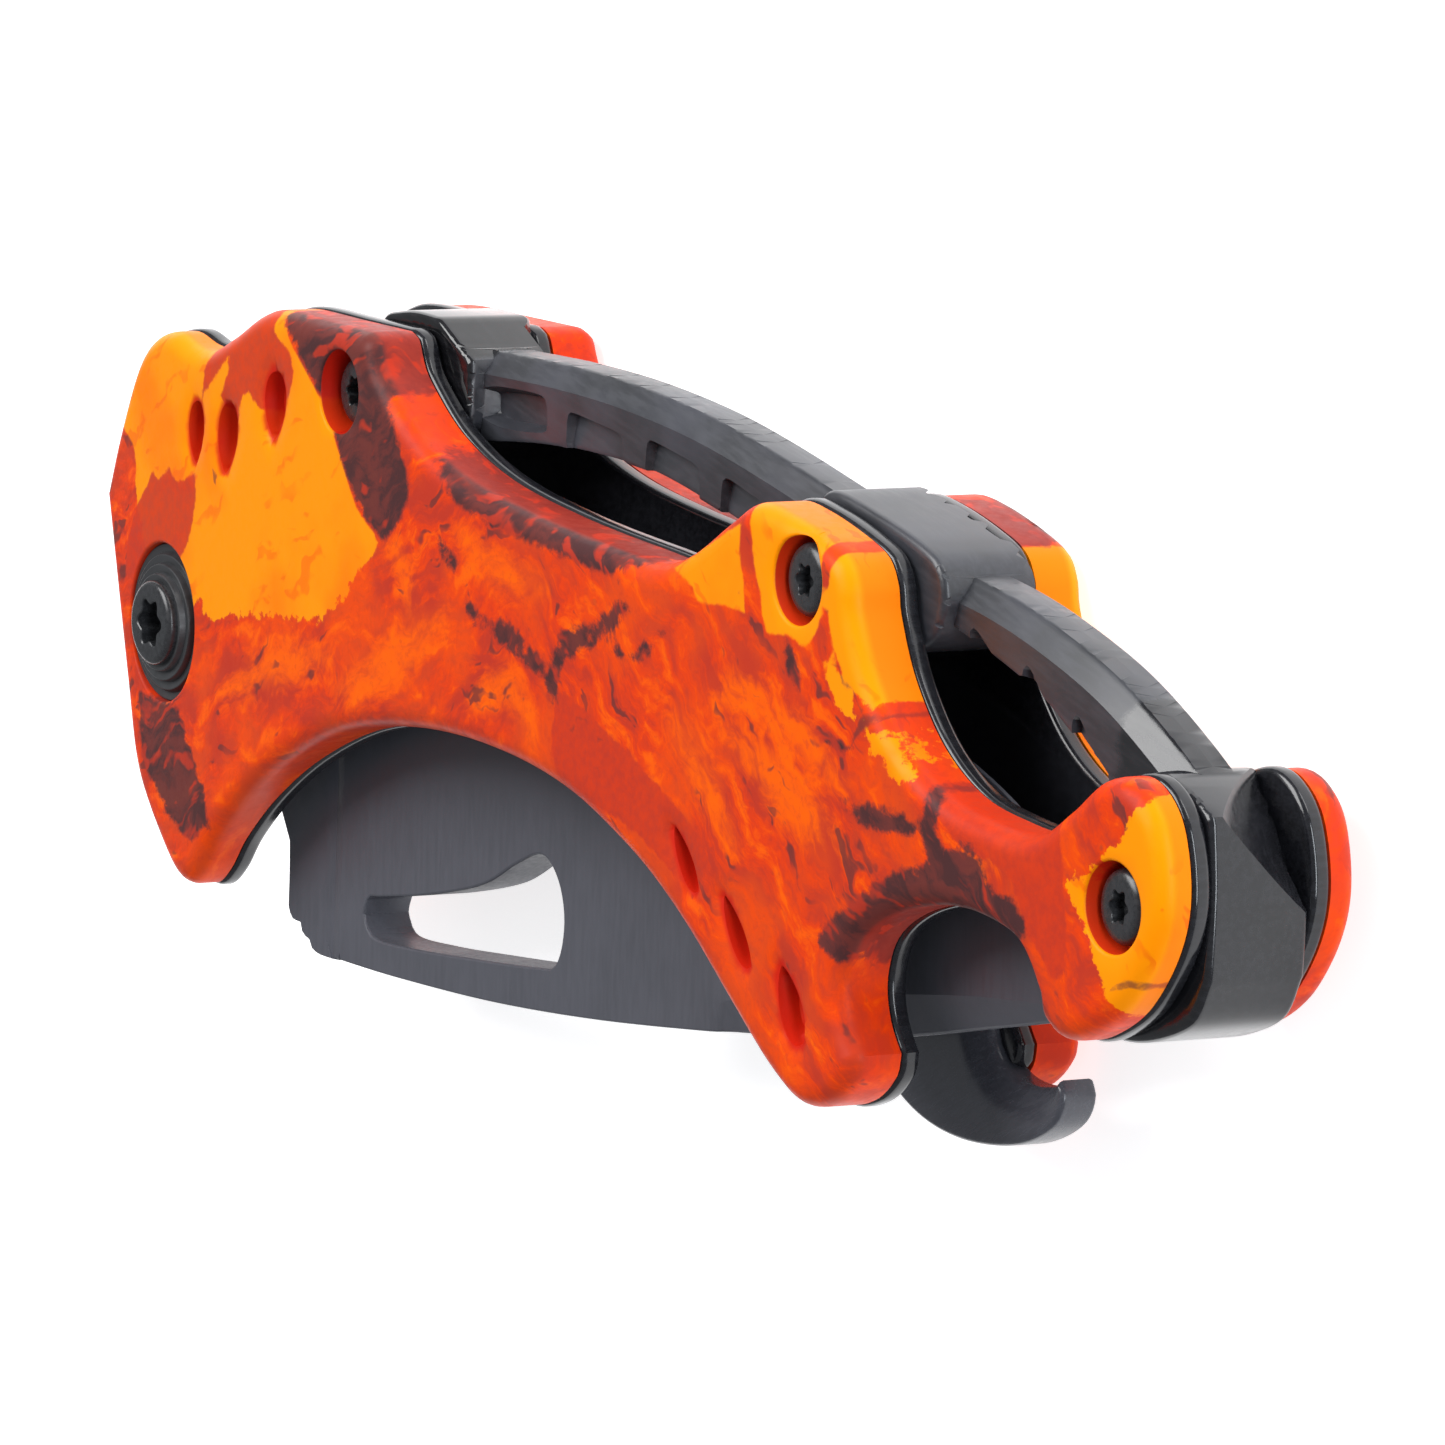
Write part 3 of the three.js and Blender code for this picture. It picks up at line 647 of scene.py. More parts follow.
def cut_share(xy):
    """1 inside the grooves and the screw wells, and 0 elsewhere."""
    share = np.clip(groove_depth(xy) / RED_DEPTH, 0, 1)
    for x, y, _ in BODY_SCREWS:
        share = np.maximum(share, np.hypot(xy[:, 0] - x, xy[:, 1] - y) < WELL + RED_MARGIN)
    return share


def build_scale(name, side, material):
    holes = [circle(DISC_RECESS, count=DISC_STEPS), *screw_holes(THREAD_BORE)]
    creases = [circle(DISC_RECESS + MOUTH_ROUND, count=DISC_STEPS)]
    for x, y, _ in BODY_SCREWS:
        for d in (-WELL_LEAN, 0, MOUTH_ROUND * 0.3, MOUTH_ROUND):
            creases.append(circle(WELL + d, x, y, WELL_STEPS))
    for groove in GROOVES:
        creases += [groove_loop(groove, share) for share in GROOVE_RINGS]
    points, faces = relief_mesh(region([SCALE], holes), [SCALE, *holes], scale_face,
                                lambda xy: np.full(len(xy), SCALE_IN), creases, radius=EDGE_ROUND, rows=7,
                                cell=1.0)
    xy = points[:, :2]
    if side < 0:
        points, faces = mirrored(points, faces)
    piece = add_object(name + "_shell", name, points, faces, material, "scale_print", sharp=40)
    printed = xy if side > 0 else np.array([PRINT_TURN, 0]) + xy * np.array([-1, 1])
    for attribute, shapes in PRINT.items():
        add_attribute(piece, attribute, depth_in(printed, shapes))
    add_attribute(piece, "cut", cut_share(xy))


# Liners and lock bar

LINER_ROUND = 0.42
BAR_ROUND = LINER_ROUND * 0.6
BAR_END = 8.0
BAR_ROOT = 58.0
GAP = 0.4
OPENER_GAP = 0.25
PIN_HOLE = 1.35
BALL_HOLE = 1.2
BALL_PLACE = (13.5, -3.5)


def flat_plate(low, high, rims, radius):
    """Top and bottom of a flat plate whose edges are rounded on both faces."""
    def fall(xy):
        return rounding(np.min([distance_to(xy, rim) for rim in rims], axis=0), radius)

    return lambda xy: high - fall(xy), lambda xy: low + fall(xy)


def bar_region(gap):
    return np.array([
        (BAR_END - gap, 3.0 + gap),
        (BAR_END - gap, -6.2),
        (BAR_END + 4.5 - gap, -8.2),
        (BAR_END + 4.5 - gap, -20),
        (BAR_ROOT + gap, -20),
        (BAR_ROOT + gap, 4.2 + gap),
    ])


def build_liner(name, side, material):
    holes = [circle(PIVOT_HOLE), circle(PIN_HOLE, *PIN_PLACE, 32), *screw_holes(THREAD_BORE)]
    windows = [bar_region(GAP), inset(OPENER, -OPENER_GAP)] if side < 0 else []
    top, bottom = flat_plate(LINER_IN, LINER_OUT, [HANDLE, *holes], LINER_ROUND)
    cuts = [*holes, *windows]
    points, faces = relief_mesh(region([HANDLE], cuts), [HANDLE, *cuts], top, bottom,
                                radius=LINER_ROUND, rows=5, cell=4.0)
    if side < 0:
        points, faces = mirrored(points, faces)
    add_object(name + "_plate", name, points, faces, material, "black_liner")


def build_lock_bar(material):
    bar = bar_region(0)
    hole = circle(BALL_HOLE, *BALL_PLACE, 32)

    def solid(xy):
        return inside(xy, HANDLE) & inside(xy, bar) & ~inside(xy, hole)

    top, bottom = flat_plate(-LINER_OUT, -LINER_IN, [HANDLE, bar], BAR_ROUND)
    points, faces = relief_mesh(solid, [HANDLE, bar, hole], top, bottom, radius=BAR_ROUND, rows=2, cell=3.0)
    turn = np.array(Matrix.Rotation(BAR_LIFT, 3, "Y"))
    hinge = np.array(BAR_HINGE)
    points = (points - hinge) @ turn.T + hinge
    add_object("lock_bar_plate", "lock_bar", points, faces, material, "black_liner", "lock_bar")


# Blade: place along x, then heights of the edge, the grind line, the swedge and the spine, and
# half the thickness on the flat and at the spine

STATIONS = np.array([
    (14, 6.6, 0.5, -17, -18.9, 1.6, 1.6),
    (22, 7.2, 0, -17, -18.8, 1.6, 1.6),
    (34, 7.9, -0.5, -16.6, -18.3, 1.6, 1.6),
    (46, 8.0, -0.8, -15.8, -17.3, 1.6, 1.6),
    (58, 7.6, -1, -14.7, -15.9, 1.6, 1.6),
    (61, 7.4, -1.1, -13.6, -15.5, 1.6, 1.1),
    (68, 6.6, -1.4, -12.3, -14.6, 1.6, 0.7),
    (78, 4.9, -2.4, -10.4, -12.9, 1.55, 0.6),
    (87, 2.4, -3.9, -9, -10.9, 1.35, 0.5),
    (94, -1, -5.4, -8.3, -9.3, 0.9, 0.4),
    (98, -4.5, -6.8, -7.8, -8.2, 0.5, 0.3),
    (99.4, -6.8, -7.2, -7.6, -7.8, 0.25, 0.2),
])
EDGE_HALF = 0.12
THINNEST_HALF = 0.04
BLADE_ROUND = 0.14
PLUNGE_START = 15.0
PLUNGE_LENGTH = 3.5
TANG_END = PLUNGE_START - 0.3
SWEDGE_START = 58
CREASE_END = 97

TANG = outline([
    [(8.2, -12.6), (8.3, -14.6)],
    [(8.3, -16.6), (8.8, -17.3)],
    [(9.9, -17.4), (10.2, -18)],
    [(11.1, -18.3), (11.5, -18.8)],
    [(12.5, -19), (14, -19)],
    [(15, -18.9), (15, -6)],
    [(15, 6.5), (11, 7.2), (7, 9.8), (3.2, 12.8), (0.6, 13.8), (-1.8, 13.6)],
    [(-3, 12.4), (-3.4, 9.5), (-5.2, 5.2), (-6.6, 1.6), (-6.7, -1.5), (-5.4, -4.4), (-2, -7.4), (2.4, -8.4),
     (6, -9.8)],
])

SLOT = outline([
    [(17.9, -15.6), (18.4, -14.5), (20, -14.2), (26, -13.1), (32.2, -11.5), (36.2, -9.6), (39.2, -8.6),
     (41.2, -9.9), (42, -12.3), (41.2, -14.8), (38.6, -15.4), (30.2, -16.2), (24, -16.7), (19.2, -16.8)],
])


def station_line(column, step=0.6):
    return smooth(STATIONS[:, [0, column]], step)


def station_value(x, column):
    line = station_line(column)
    return np.interp(x, line[:, 0], line[:, 1])


def blade_half(xy):
    x, y = xy.T
    edge, grind, swedge, spine, half, back = (station_value(x, column) for column in range(1, 7))
    ground = half + (EDGE_HALF - half) * np.clip((y - grind) / (edge - grind), 0, 1)
    ground = half + (ground - half) * ease((x - PLUNGE_START) / PLUNGE_LENGTH)
    fallen = half + (back - half) * np.clip((swedge - y) / (swedge - spine), 0, 1)
    z = np.where(y > grind, ground, np.where(y < swedge, fallen, half))
    return np.where(x < PLUNGE_START, BLADE_HALF, z)


def build_blade(material):
    edge, spine = station_line(1), station_line(4)
    body = np.vstack([edge, spine[::-1]])
    hole = circle(PIVOT_HOLE)
    solid = region([body, TANG], [SLOT, hole])

    def top(xy):
        d = np.minimum(distance_to(xy, SLOT), distance_to(xy, hole))
        d = np.minimum(d, distance_to(xy, spine, closed=False))
        tang = distance_to(xy, TANG) + np.where(xy[:, 0] > TANG_END, FAR, 0)
        z = blade_half(xy)
        return np.maximum(z - rounding(np.minimum(d, tang), BLADE_ROUND), THINNEST_HALF)

    grind, swedge = station_line(2, 1.0), station_line(3, 1.0)
    grind = grind[(grind[:, 0] > PLUNGE_START + 0.5) & (grind[:, 0] < CREASE_END)]
    swedge = swedge[(swedge[:, 0] > SWEDGE_START) & (swedge[:, 0] < CREASE_END)]
    points, faces = relief_mesh(solid, [body, TANG, SLOT, hole], top, lambda xy: -top(xy),
                                lines=[grind, swedge], radius=BLADE_ROUND, rows=2, cell=1.3)
    add_object("knife_blade", "blade", points, faces, material, "dark_blade", "blade", 14)


# Back spacer

BEAM_HALF = 2.2
BEAM_RIDGE = 1.1
CHAMFER = 1.35
BOSS_HALF = LINER_IN - SEAM

BEAM_CREST = [(20, 18.6), (24, 20.2), (33, 20.4), (39.5, 20.5), (47, 20.3), (55, 19.6), (62, 18.5),
              (70, 16.9), (80, 14.8), (88.5, 13.6), (94.4, 12.3), (100.2, 10.5), (106, 7.8), (111.5, 4.6)]
BEAM_TOP = smooth(BEAM_CREST, 0.5)
BEAM = outline([
    BEAM_CREST[:-1],
    [BEAM_CREST[-1], (106, 0)],
    [(101.8, 4.6), (97, 7.2), (92.6, 9.2), (84, 11.4), (76, 12.4), (66, 12.9), (60.6, 14.1), (53, 15.4),
     (48, 15.8), (40, 15.8), (33, 15.2), (26, 14.4)],
    [(20.4, 14), (19.6, 16.4)],
])
BOSSES = [
    outline([
        [(19.4, 14.3), (19.2, 17.6), (19.6, 20.2), (20.8, 21.4)],
        [(21.4, 21.6), (24, 21.95), (27.2, 21.9)], [(27.5, 21.8), (31.2, 19.9)],
        [(31.4, 19.6), (31.2, 15.6)],
        [(29.2, 13.6), (24, 13)],
    ]),
    outline([
        [(71, 16.4), (72.6, 17.4), (77, 16.8), (82, 15.7), (84.4, 14.6), (85, 12.6), (83.4, 10.2),
         (79.6, 9.2), (75, 9.6), (72, 12.2)],
    ]),
    outline([
        [(101.9, 4.2), (104.2, 5.5), (106.8, 6.6), (109.4, 6.2), (112.2, 5.1)],
        [(112.5, 4.6), (112.9, 1), (112.8, -3.6)],
        [(112.6, -4.2), (111.2, -6.4), (107.6, -7.9), (104.2, -8.4)],
        [(102.2, -7.6), (101.9, -3), (102, 0.6)],
    ]),
]
MIDDLE_BOSS, TAIL_BOSS = BOSSES[1:]
TAIL_START = TAIL_BOSS[:, 0].min()
BOSS_ROUND = 0.45
BEAM_ROUND = 0.12
BOSS_FOOT = 0.06
SLEEVE_HOLE = 2.2
ON_RIM = 1e-3
# Pockets in the beam's sides: start, end, height of the top and how far it falls
POCKETS = [
    (41.2, 48, 18, 0.5), (50.4, 56.8, 17.5, 0.7), (59, 64, 16.4, 0.7),
    (86, 90.5, 11.5, 1.6), (91.6, 95.6, 10.2, 1.8), (96.8, 101, 8.2, 2.2),
]
POCKET_DEPTH = 0.7
POCKET_WALL = 0.12
POCKET_HEIGHT = 4.6
POCKET_FADE = 5.0
SHALLOWEST = 0.6
# The hollow beside the front boss keeps a lip below it
HOLLOW = outline([
    [(31.4, 18.2), (33.4, 18.5), (37.8, 18.6), (38.9, 18.2)],
    [(39.1, 17), (38.6, 16.4), (34, 16.1)],
    [(31.4, 16.4)],
], 0.5)
HOLLOW_DEPTH = 1.0
HOLLOW_WALL = 0.4


def pocket_outline(start, end, top, fall):
    height = POCKET_HEIGHT
    corner = 0.7
    return outline([
        [(start, top - height), (start + 0.2, top - corner)],
        [(start + 0.3, top - 0.2), (start + 0.9, top)],
        [(end - 1.6, top - fall * 0.8), (end - 0.6, top - fall - 0.1), (end - 0.1, top - fall - corner)],
        [(end, top - height - fall)],
    ], 0.4)


# The plane that cuts the tail boss passes through this corner, and rises this much per millimetre
TAIL_CORNER = (112.5, 5.5, 3.1)
TAIL_SLOPE = (1.37, 1.11)
LEDGE_START = 27.6
LEDGE_RISE = 1.5
BEAM_START = 31.3
BEAM_SPLIT = 50
# The middle boss is lower on its back side, above this height and inside this margin
LAND_LOW = 12.6
LAND = 0.45
LAND_WALL = 0.12
THINNEST = 0.3
TAIL_SHINE = 0.8


def spacer_half(xy):
    d_top = distance_to(xy, BEAM_TOP, closed=False)
    z = BEAM_RIDGE + (BEAM_HALF - BEAM_RIDGE) * np.clip(d_top / CHAMFER, 0, 1)
    z -= rounding(distance_to(xy, BEAM), BEAM_ROUND)
    for pocket in POCKETS:
        loop = pocket_outline(*pocket)
        d = np.where(inside(xy, loop), distance_to(xy, loop), 0)
        shallow = np.clip((pocket[2] - xy[:, 1]) / POCKET_FADE, 0, SHALLOWEST)
        z -= POCKET_DEPTH * (1 - shallow) * np.clip(d / POCKET_WALL, 0, 1)
    d = np.where(inside(xy, HOLLOW), distance_to(xy, HOLLOW), 0)
    z -= HOLLOW_DEPTH * ease(d / HOLLOW_WALL)
    z = np.where(inside(xy, BEAM), z, 0)
    for boss in BOSSES:
        d = distance_to(xy, boss)
        raised = np.maximum(z, BOSS_HALF - rounding(d, BOSS_ROUND))
        z = np.where(inside(xy, boss) | (d < ON_RIM), raised, z)
    return z


def spacer_back(xy):
    """The spacer's back side, cut at an angle on the tail boss and stepped on the other two."""
    x, y = xy.T
    front = spacer_half(xy)
    cut = TAIL_CORNER[2] + TAIL_SLOPE[0] * (x - TAIL_CORNER[0]) + TAIL_SLOPE[1] * (y - TAIL_CORNER[1])
    cut = np.where(x > TAIL_START, cut, -BOSS_HALF)
    ledge = np.clip((x - LEDGE_START) * LEDGE_RISE - BOSS_HALF, -BOSS_HALF, -BEAM_HALF)
    cut = np.where(x < BEAM_SPLIT, ledge, cut)
    step = np.clip((LAND + LAND_WALL - distance_to(xy, MIDDLE_BOSS)) / LAND_WALL, 0, 1)
    land = inside(xy, MIDDLE_BOSS) & (y > LAND_LOW)
    cut = np.where(land, step * (BOSS_HALF - BEAM_HALF) - BOSS_HALF, cut)
    return np.maximum(-front, np.minimum(cut, front - THINNEST))


def spacer_polish(x):
    """1 on the glossy front boss, less on the tail boss and 0 on the satin rest."""
    return np.where(x < BEAM_START, 1.0, np.where(x > TAIL_START, TAIL_SHINE, 0.0))


def build_spacer(material):
    holes = screw_holes(SLEEVE_HOLE, 40)
    bodies = [BEAM, *BOSSES]
    creases = [pocket_outline(*pocket) for pocket in POCKETS]
    creases += [inset(loop, POCKET_WALL) for loop in creases]
    creases += [HOLLOW, inset(HOLLOW, HOLLOW_WALL)]
    creases += [inset(MIDDLE_BOSS, LAND), inset(MIDDLE_BOSS, LAND + LAND_WALL)]
    creases += [inset(boss, -BOSS_FOOT) for boss in BOSSES]
    lines = [inset_line(BEAM_TOP, CHAMFER)]
    points, faces = relief_mesh(region(bodies, holes), [*bodies, *holes], spacer_half, spacer_back, creases,
                                lines, radius=BOSS_ROUND, rows=4, cell=0.9)
    piece = add_object("spacer_bar", "back_spacer", points, faces, material, "spacer", sharp=24)
    add_attribute(piece, "polish", spacer_polish(points[:, 0]))


# Opener

OPENER_FRONT = -2.0
OPENER_MOUTH = smooth(MOUTH, 0.5)
MOUTH_BEVEL = 1.7
MOUTH_FALL = 0.75
OPENER_ROUND = 0.35
RIVET_HOLE = 1.3
RIVET_PLACES = [(73.5, -9.2), (79.5, -8.6)]


def build_opener(material):
    holes = [circle(RIVET_HOLE, x, y, 32) for x, y in RIVET_PLACES]
    flat, bottom = flat_plate(-LINER_OUT, OPENER_FRONT, [OPENER], OPENER_ROUND)

    def top(xy):
        d = distance_to(xy, OPENER_MOUTH, closed=False)
        return flat(xy) - MOUTH_FALL * np.clip(1 - d / MOUTH_BEVEL, 0, 1)

    points, faces = relief_mesh(region([OPENER], holes), [OPENER, *holes], top, bottom,
                                radius=OPENER_ROUND, rows=4, cell=0.9)
    add_object("opener_plate", "opener_hook", points, faces, material, "black_liner")


# Round parts

# A crown's width in heights, and the recess's mouth and floor in driver sizes
CROWN_STEPS = 6
CROWN_WIDTH = 1.25
DRIVER_MOUTH = 1.06
DRIVER_FLOOR = 0.97
DRIVER_BEVEL = 0.06
SCREW_SHANK = 1.05
SCREW_END = 0.3
SCREW_CROWN = 0.55
SCREW_DRIVER = (0.85, 0.8)
BOSS_RADIUS = 2.6
BOSS_TOP = 7.4
BOSS_CROWN = 0.35
BOSS_DRIVER = (1.35, 1.4)
BOSS_SHANK = 1.4
HEAD_BOTTOM = 4.6
# The pivot disc's steps: radius and height
DISC_PLATES = [(4.87, 5.95), (4.2, 6.25), (3.6, 6.55), (3.0, 6.85)]
DISC_BEVEL = 0.07
DISC_BORE = 2.8
DISC_LAND = 0.5
DISC_SINK = 0.08
FLANGE = 4.7
FLANGE_FACE = -6.1
SLEEVE = 2.8


def head_rings(radius, low, high, crown, driver):
    """A button head: a wall, a rounded crown, a flat and a six-lobed recess."""
    reach, depth = driver
    rings = [ring(radius, low), ring(radius, high - crown)]
    for t in np.linspace(0, math.pi / 2, CROWN_STEPS)[1:]:
        inward = crown * CROWN_WIDTH * (1 - math.cos(t))
        rings.append(ring(radius - inward, high - crown * (1 - math.sin(t))))
    rings.append(ring(reach * DRIVER_MOUTH, high, lobed=True))
    rings.append(ring(reach, high - DRIVER_BEVEL, lobed=True))
    rings.append(ring(reach * DRIVER_FLOOR, high - depth, lobed=True))
    return rings


def build_screws(material):
    for i, (x, y, sunk) in enumerate(BODY_SCREWS):
        top = SCALE_OUT - sunk
        low = top - HEAD_HEIGHT
        shank = [ring(SCREW_SHANK, SCREW_END), ring(SCREW_SHANK, low)]
        rings = shank + head_rings(HEAD, low, top, SCREW_CROWN, SCREW_DRIVER)
        for side, place in ((1, "front"), (-1, "back")):
            points, faces = loft_mesh(rings)
            points += np.array([x, y, 0])
            if side < 0:
                points, faces = mirrored(points, faces)
            name = f"{place}_screw_{i + 1}"
            add_object(name + "_button", name, points, faces, material, "black_screw", sharp=30)


def build_disc(material):
    bevel = DISC_BEVEL
    rings = [ring(DISC_BORE, SCALE_IN), ring(DISC_PLATES[0][0], SCALE_IN)]
    for radius, z in DISC_PLATES:
        rings += [ring(radius, z - bevel), ring(radius - bevel * 0.3, z - bevel * 0.3)]
        rings += [ring(radius - bevel, z), ring(radius - DISC_LAND, z - DISC_SINK)]
    rings.append(ring(DISC_BORE, DISC_PLATES[-1][1] - DISC_SINK))
    add_object("pivot_disc", "pivot_cover_disc", *bored_mesh(rings), material, "black_screw", sharp=30)


def build_pivot(material):
    shank = [ring(BOSS_SHANK, -1), ring(BOSS_SHANK, HEAD_BOTTOM)]
    head = head_rings(BOSS_RADIUS, HEAD_BOTTOM, BOSS_TOP, BOSS_CROWN, BOSS_DRIVER)
    add_object("pivot_boss", "pivot_screw", *loft_mesh(shank + head), material, "black_screw", sharp=30)
    rings = [ring(1.3, -4.8, lobed=True), ring(1.35, -6.04, lobed=True), ring(1.43, FLANGE_FACE, lobed=True),
             ring(FLANGE - 0.3, FLANGE_FACE), ring(FLANGE - 0.1, -6.05), ring(FLANGE, -5.8),
             ring(FLANGE, -SCALE_IN), ring(SLEEVE, -SCALE_IN), ring(SLEEVE, LINER_OUT),
             ring(1.6, LINER_OUT), ring(1.6, -1.6)]
    add_object("pivot_flange", "pivot_sleeve", *loft_mesh(rings), material, "black_screw", sharp=30)


# Materials

class Graph:
    """A material's node tree, with short names for the nodes that the materials below use."""

    def __init__(self, name):
        self.material = bpy.data.materials.new(name)
        self.material.use_nodes = True
        self.tree = self.material.node_tree
        self.shader = self.tree.nodes["Principled BSDF"]

    def link(self, value, socket):
        if isinstance(value, bpy.types.NodeSocket):
            self.tree.links.new(value, socket)
        else:
            socket.default_value = value

    def node(self, kind, **inputs):
        node = self.tree.nodes.new("ShaderNode" + kind)
        for name, value in inputs.items():
            self.link(value, node.inputs[name.replace("_", " ")])
        return node

    def math(self, operation, a, b=0.0, kind="Math"):
        node = self.node(kind)
        node.operation = operation
        self.link(a, node.inputs[0])
        self.link(b, node.inputs[1])
        return node.outputs[0]

    def vector(self, operation, a, b):
        return self.math(operation, a, b, "VectorMath")

    def mapped(self, vector, place=(0, 0, 0), turn=0.0, size=(1, 1, 1)):
        """The vector seen from a frame that is moved, turned about z and stretched."""
        rotation = (0, 0, math.radians(turn))
        node = self.node("Mapping", Vector=vector, Location=place, Rotation=rotation, Scale=size)
        node.vector_type = "TEXTURE"
        return node.outputs["Vector"]

    def noise(self, vector, scale, detail, rough, color=False):
        node = self.node("TexNoise", Vector=vector, Scale=scale, Detail=detail, Roughness=rough)
        return node.outputs["Color" if color else "Fac"]

    def ramp(self, value, low, high, to_low=0.0, to_high=1.0):
        node = self.node("MapRange", Value=value, From_Min=low, From_Max=high, To_Min=to_low, To_Max=to_high)
        node.interpolation_type = "SMOOTHSTEP"
        return node.outputs["Result"]

    def sum(self, a, b):
        return self.math("ADD", a, b)

    def times(self, a, b):
        return self.math("MULTIPLY", a, b)

    def blend(self, factor, a, b):
        """The number a where the factor is 0, and b where it is 1."""
        return self.sum(a, self.times(factor, self.math("SUBTRACT", b, a)))

    def attribute(self, name):
        node = self.node("Attribute")
        node.attribute_name = name
        return node.outputs["Fac"]

    def mix(self, factor, a, b):
        node = self.node("Mix")
        node.data_type = "RGBA"
        self.link(factor, node.inputs["Factor"])
        self.link(a, node.inputs["A"])
        self.link(b, node.inputs["B"])
        return node.outputs["Result"]

    def position(self):
        """Millimetres from the pivot."""
        place = self.node("TexCoord").outputs["Object"]
        moved = self.vector("SUBTRACT", place, tuple(PIVOT))
        return self.vector("MULTIPLY", moved, (1 / MM, 1 / MM, 1 / MM))

    def bump(self, height, strength, distance):
        node = self.node("Bump", Strength=strength, Distance=distance, Height=height)
        self.set(Normal=node.outputs["Normal"])

    def set(self, **values):
        for name, value in values.items():
            self.link(value, self.shader.inputs[name.replace("_", " ")])


def rgb(red, green, blue):
    """A colour given in screen values from 0 to 255."""
    linear = [c / 255 / 12.92 if c <= 10 else ((c / 255 + 0.055) / 1.055) ** 2.4 for c in (red, green, blue)]
    return (*linear, 1.0)


YELLOW = rgb(255, 146, 0)
AMBER = rgb(250, 98, 0)
ORANGE = rgb(228, 62, 12)
DULL_RED = rgb(188, 54, 34)
BROWN = rgb(96, 50, 48)
DARK = rgb(62, 44, 46)
CUT_RED = rgb(200, 32, 16)
WALL_RED = rgb(222, 48, 4)


def print_material(name, seed):
    """A heat-coloured woodland print: glowing patches, leaves, bark and twigs over streaked orange."""
    graph = Graph(name)
    position = graph.position()
    shifted = graph.vector("ADD", position, (seed, 0, 0))
    split = graph.node("SeparateXYZ", Vector=position)
    x, y = split.outputs["X"], split.outputs["Y"]
    warp = graph.vector("SUBTRACT", graph.noise(shifted, 0.2, 3, 0.5, color=True), (0.5, 0.5, 0.5))
    warped = graph.vector("ADD", shifted, graph.vector("MULTIPLY", warp, (5, 5, 5)))
    rising = graph.noise(graph.mapped(warped, turn=24, size=(3.4, 1, 1)), 0.62, 5, 0.62)
    falling = graph.noise(graph.mapped(warped, turn=-36, size=(4.4, 1, 1)), 0.62, 5, 0.62)
    flow = graph.blend(graph.ramp(x, 40, 54), rising, falling)
    low_strokes = graph.noise(graph.mapped(warped, (9, 4, 0), 26, (4.5, 1, 1)), 0.8, 2, 0.5)
    high_strokes = graph.noise(graph.mapped(warped, (9, 4, 0), -38, (4.5, 1, 1)), 0.8, 2, 0.5)
    strokes = graph.blend(graph.ramp(x, 44, 52), low_strokes, high_strokes)
    clouds = graph.noise(shifted, 0.13, 3, 0.5)
    mottle = graph.noise(shifted, 1.5, 5, 0.65)
    tear = graph.math("SUBTRACT", graph.noise(shifted, 0.95, 5, 0.65), 0.5)
    drift = graph.math("SUBTRACT", flow, 0.5)

    color = graph.mix(graph.ramp(flow, 0.38, 0.6), DULL_RED, ORANGE)
    color = graph.mix(graph.ramp(clouds, 0.42, 0.66, 0.0, 0.5), color, graph.mix(0.5, ORANGE, AMBER))
    color = graph.mix(graph.ramp(flow, 0.55, 0.7, 0.0, 0.85), color, AMBER)
    amber = graph.sum(graph.attribute("amber"), graph.times(drift, 7.0))
    color = graph.mix(graph.ramp(amber, -1.2, 1.4, 0.0, 0.9), color, AMBER)
    color = graph.mix(graph.ramp(mottle, 0.5, 0.7, 0.0, 0.35), color, DULL_RED)
    thin = graph.times(graph.ramp(strokes, 0.63, 0.7), graph.ramp(clouds, 0.6, 0.46))
    color = graph.mix(graph.times(thin, 0.8), color, BROWN)

    leaf_color = graph.mix(graph.ramp(mottle, 0.3, 0.7), DULL_RED, graph.mix(0.45, DULL_RED, ORANGE))
    jagged = graph.times(tear, graph.ramp(y, 10, 5, 0.5, 2.6))
    glow_color = graph.mix(graph.ramp(clouds, 0.45, 0.75, 0.0, 0.5), YELLOW, AMBER)
    specks = graph.times(graph.ramp(strokes, 0.6, 0.66), graph.ramp(clouds, 0.4, 0.5))
    glow_color = graph.mix(graph.times(specks, 0.4), glow_color, ORANGE)
    color = graph.mix(graph.ramp(graph.sum(graph.attribute("glow"), jagged), -0.1, 0.14), color, glow_color)
    torn = graph.sum(graph.attribute("leaf"), graph.times(tear, 0.9))
    color = graph.mix(graph.ramp(torn, -0.12, 0.14, 0.0, 0.95), color, leaf_color)

    bark_color = graph.mix(graph.ramp(flow, 0.4, 0.56), DARK, BROWN)
    bark_color = graph.mix(graph.ramp(strokes, 0.54, 0.66, 0.0, 0.8), bark_color, DULL_RED)
    bark = graph.sum(graph.attribute("bark"), graph.times(tear, 1.5))
    bark = graph.sum(bark, graph.times(graph.math("MAXIMUM", drift, 0.0), -2.2))
    color = graph.mix(graph.ramp(bark, -0.2, 0.3, 0.0, 0.95), color, bark_color)
    twig = graph.sum(graph.attribute("twig"), graph.times(tear, 0.5))
    color = graph.mix(graph.ramp(twig, -0.12, 0.1, 0.0, 0.7), color, BROWN)

    facing = graph.node("SeparateXYZ", Vector=graph.node("NewGeometry").outputs["Normal"])
    wall = graph.ramp(graph.math("ABSOLUTE", facing.outputs["Z"]), 0.4, 0.08, 0.0, 0.3)
    color = graph.mix(wall, color, WALL_RED)
    color = graph.mix(graph.ramp(graph.attribute("cut"), 0.35, 0.9, 0.0, 0.92), color, CUT_RED)

    graph.set(Base_Color=color, Roughness=graph.ramp(mottle, 0.3, 0.7, 0.34, 0.46))
    graph.set(Specular_IOR_Level=0.08)
    graph.bump(graph.noise(position, 4.0, 4, 0.6), 0.1, 0.00005)
    return graph.material


